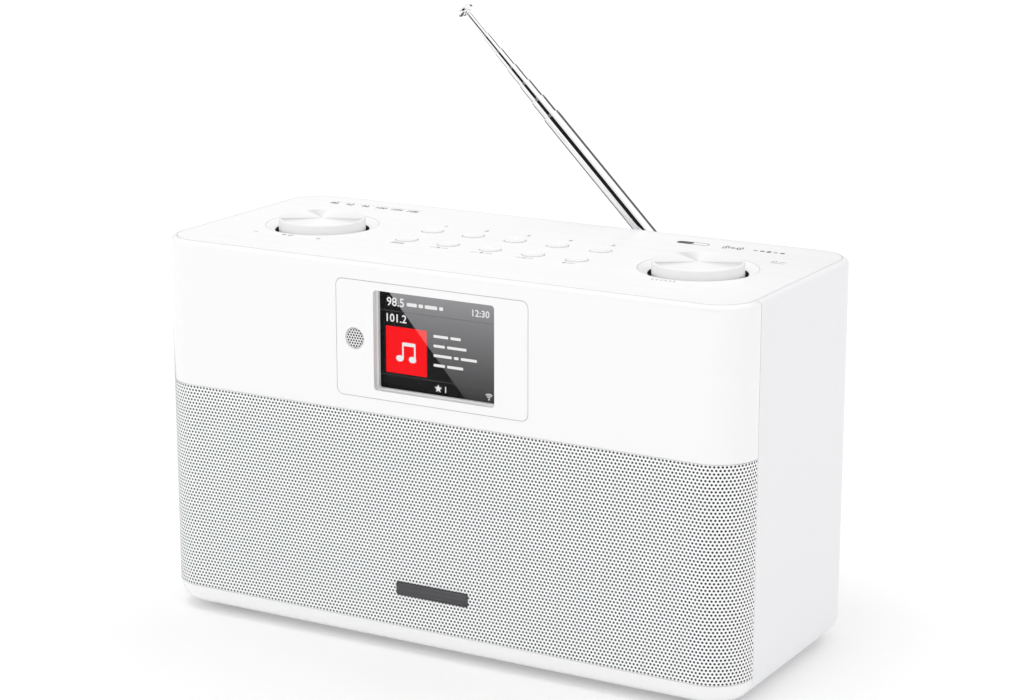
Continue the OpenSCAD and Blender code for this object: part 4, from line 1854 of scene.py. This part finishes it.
@dataclass
class Studio:
    """Pale floor, soft light, cards for the chrome to reflect, and the camera."""

    azimuth: float = 29.69
    elevation: float = 14.12
    lens: float = 93.83
    distance: float = 1.15
    aim: tuple[float, float, float] = (0.0011, -0.0018, 0.1215)
    horizon: float = 0.715
    zenith: float = 1.0
    lamps: Sequence[Lamp] = (
        Lamp("key", (-0.3, -0.5, 2.3), (0.0, 0.0, 0.1), (1.2, 0.8), 8.0),
        Lamp("fill", (-0.4, -1.8, 0.5), (0.0, 0.0, 0.08), (1.0, 1.0), 1.6),
        Lamp("rim", (0.4, 1.6, 1.4), (0.0, 0.0, 0.15), (1.4, 0.8), 3.0),
    )
    cards: Sequence[Card] = (
        Card("front_card", (0.019, -0.965, 0.255), 2.2, (1.9, 2.2), Shine.BLACK),
        Card("back_card", (-0.012, 0.97, 0.225), 1.6, (3.2, 0.7), Shine.GREY),
        Card("high_card", (0.59, 0.02, 0.81), 2.0, (2.4, 1.2), Shine.WHITE),
    )
    floor_card: Sequence[float] = (-0.5, 0.09, 0.06, 0.42)
    aerial: tuple[float, float, float] = (0.0, 0.06, 0.23)

    def build(self) -> None:
        """Builds the whole studio."""
        bpy.context.scene.view_settings.view_transform = "Standard"
        self.floor()
        self.world()
        self.hang_cards()
        for lamp in self.lamps:
            lamp.build()
        self.camera()

    def floor(self) -> None:
        """Builds a wide pale floor."""
        finish = Floor("floor_pale")
        self.card("studio_floor", circle(9.0, 96), Matrix.Identity(4), finish)

    @staticmethod
    def card(name: str, outline: Outline, where: Matrix, finish: Finish) -> bpy.types.Object:
        """Builds a flat sheet that isn't part of the radio.

        Args:
            name: The sheet's name.
            outline: Its outline.
            where: Places it.
            finish: Its finish.

        Returns:
            The new object.
        """
        mesh = bpy.data.meshes.new(name)
        points = [tuple(where @ Vector((x, y, 0.0))) for x, y in outline]
        mesh.from_pydata(points, [], [tuple(range(len(points)))])
        mesh.materials.append(finish.material())
        made = bpy.data.objects.new(name, mesh)
        bpy.context.scene.collection.objects.link(made)
        return made

    def hang_cards(self) -> None:
        """Hangs cards that only glossy reflections see, so that the chrome has lines."""
        middle = Vector(self.aerial)
        x0, y0, x1, y1 = self.floor_card
        low = ((x0, y0), (x1, y0), (x1, y1), (x0, y1))
        hung = [self.card("floor_card", low, Matrix.Translation((0.0, 0.0, 0.001)), Shine.GREY.value)]
        for card in self.cards:
            outline = rounded(*card.size, 0.01, 2)
            hung.append(self.card(card.name, outline, card.facing(middle), card.shine.value))
        for made in hung:
            made.visible_camera = False
            made.visible_shadow = False
            made.visible_diffuse = False

    def world(self) -> None:
        """Fills the sky with white light that grows a little towards the zenith."""
        world = bpy.data.worlds.new("studio_sky")
        bpy.context.scene.world = world
        world.use_nodes = True
        tree = world.node_tree
        sky = tree.nodes["Background"]
        place = tree.nodes.new("ShaderNodeTexCoord")
        parts = tree.nodes.new("ShaderNodeSeparateXYZ")
        rise = tree.nodes.new("ShaderNodeMapRange")
        rise.inputs["To Min"].default_value = self.horizon
        rise.inputs["To Max"].default_value = self.zenith
        tree.links.new(place.outputs["Generated"], parts.inputs[0])
        tree.links.new(parts.outputs["Z"], rise.inputs["Value"])
        tree.links.new(rise.outputs["Result"], sky.inputs["Strength"])
        sky.inputs["Color"].default_value = (1.0, 1.0, 1.0, 1.0)

    def camera(self) -> None:
        """Places the camera on the line that its two angles give."""
        a, e = math.radians(self.azimuth), math.radians(self.elevation)
        back = Vector((math.sin(a) * math.cos(e), -math.cos(a) * math.cos(e), math.sin(e)))
        data = bpy.data.cameras.new("camera")
        data.lens = self.lens
        holder = bpy.data.objects.new("camera", data)
        holder.location = Vector(self.aim) + back * self.distance
        holder.rotation_mode = "QUATERNION"
        holder.rotation_quaternion = (-back).to_track_quat("-Z", "Y")
        bpy.context.scene.collection.objects.link(holder)
        bpy.context.scene.camera = holder


def main() -> None:
    logging.basicConfig(level=logging.INFO, format="%(name)s: %(message)s")
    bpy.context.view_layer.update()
    Studio().build()
    Enclosure().build()
    Grille().build()
    Display().build()
    for side in Side:
        Knob(side).build()
    Buttons().build()
    Inside().build()
    Aerial().build()


if __name__ == "__main__":
    main()
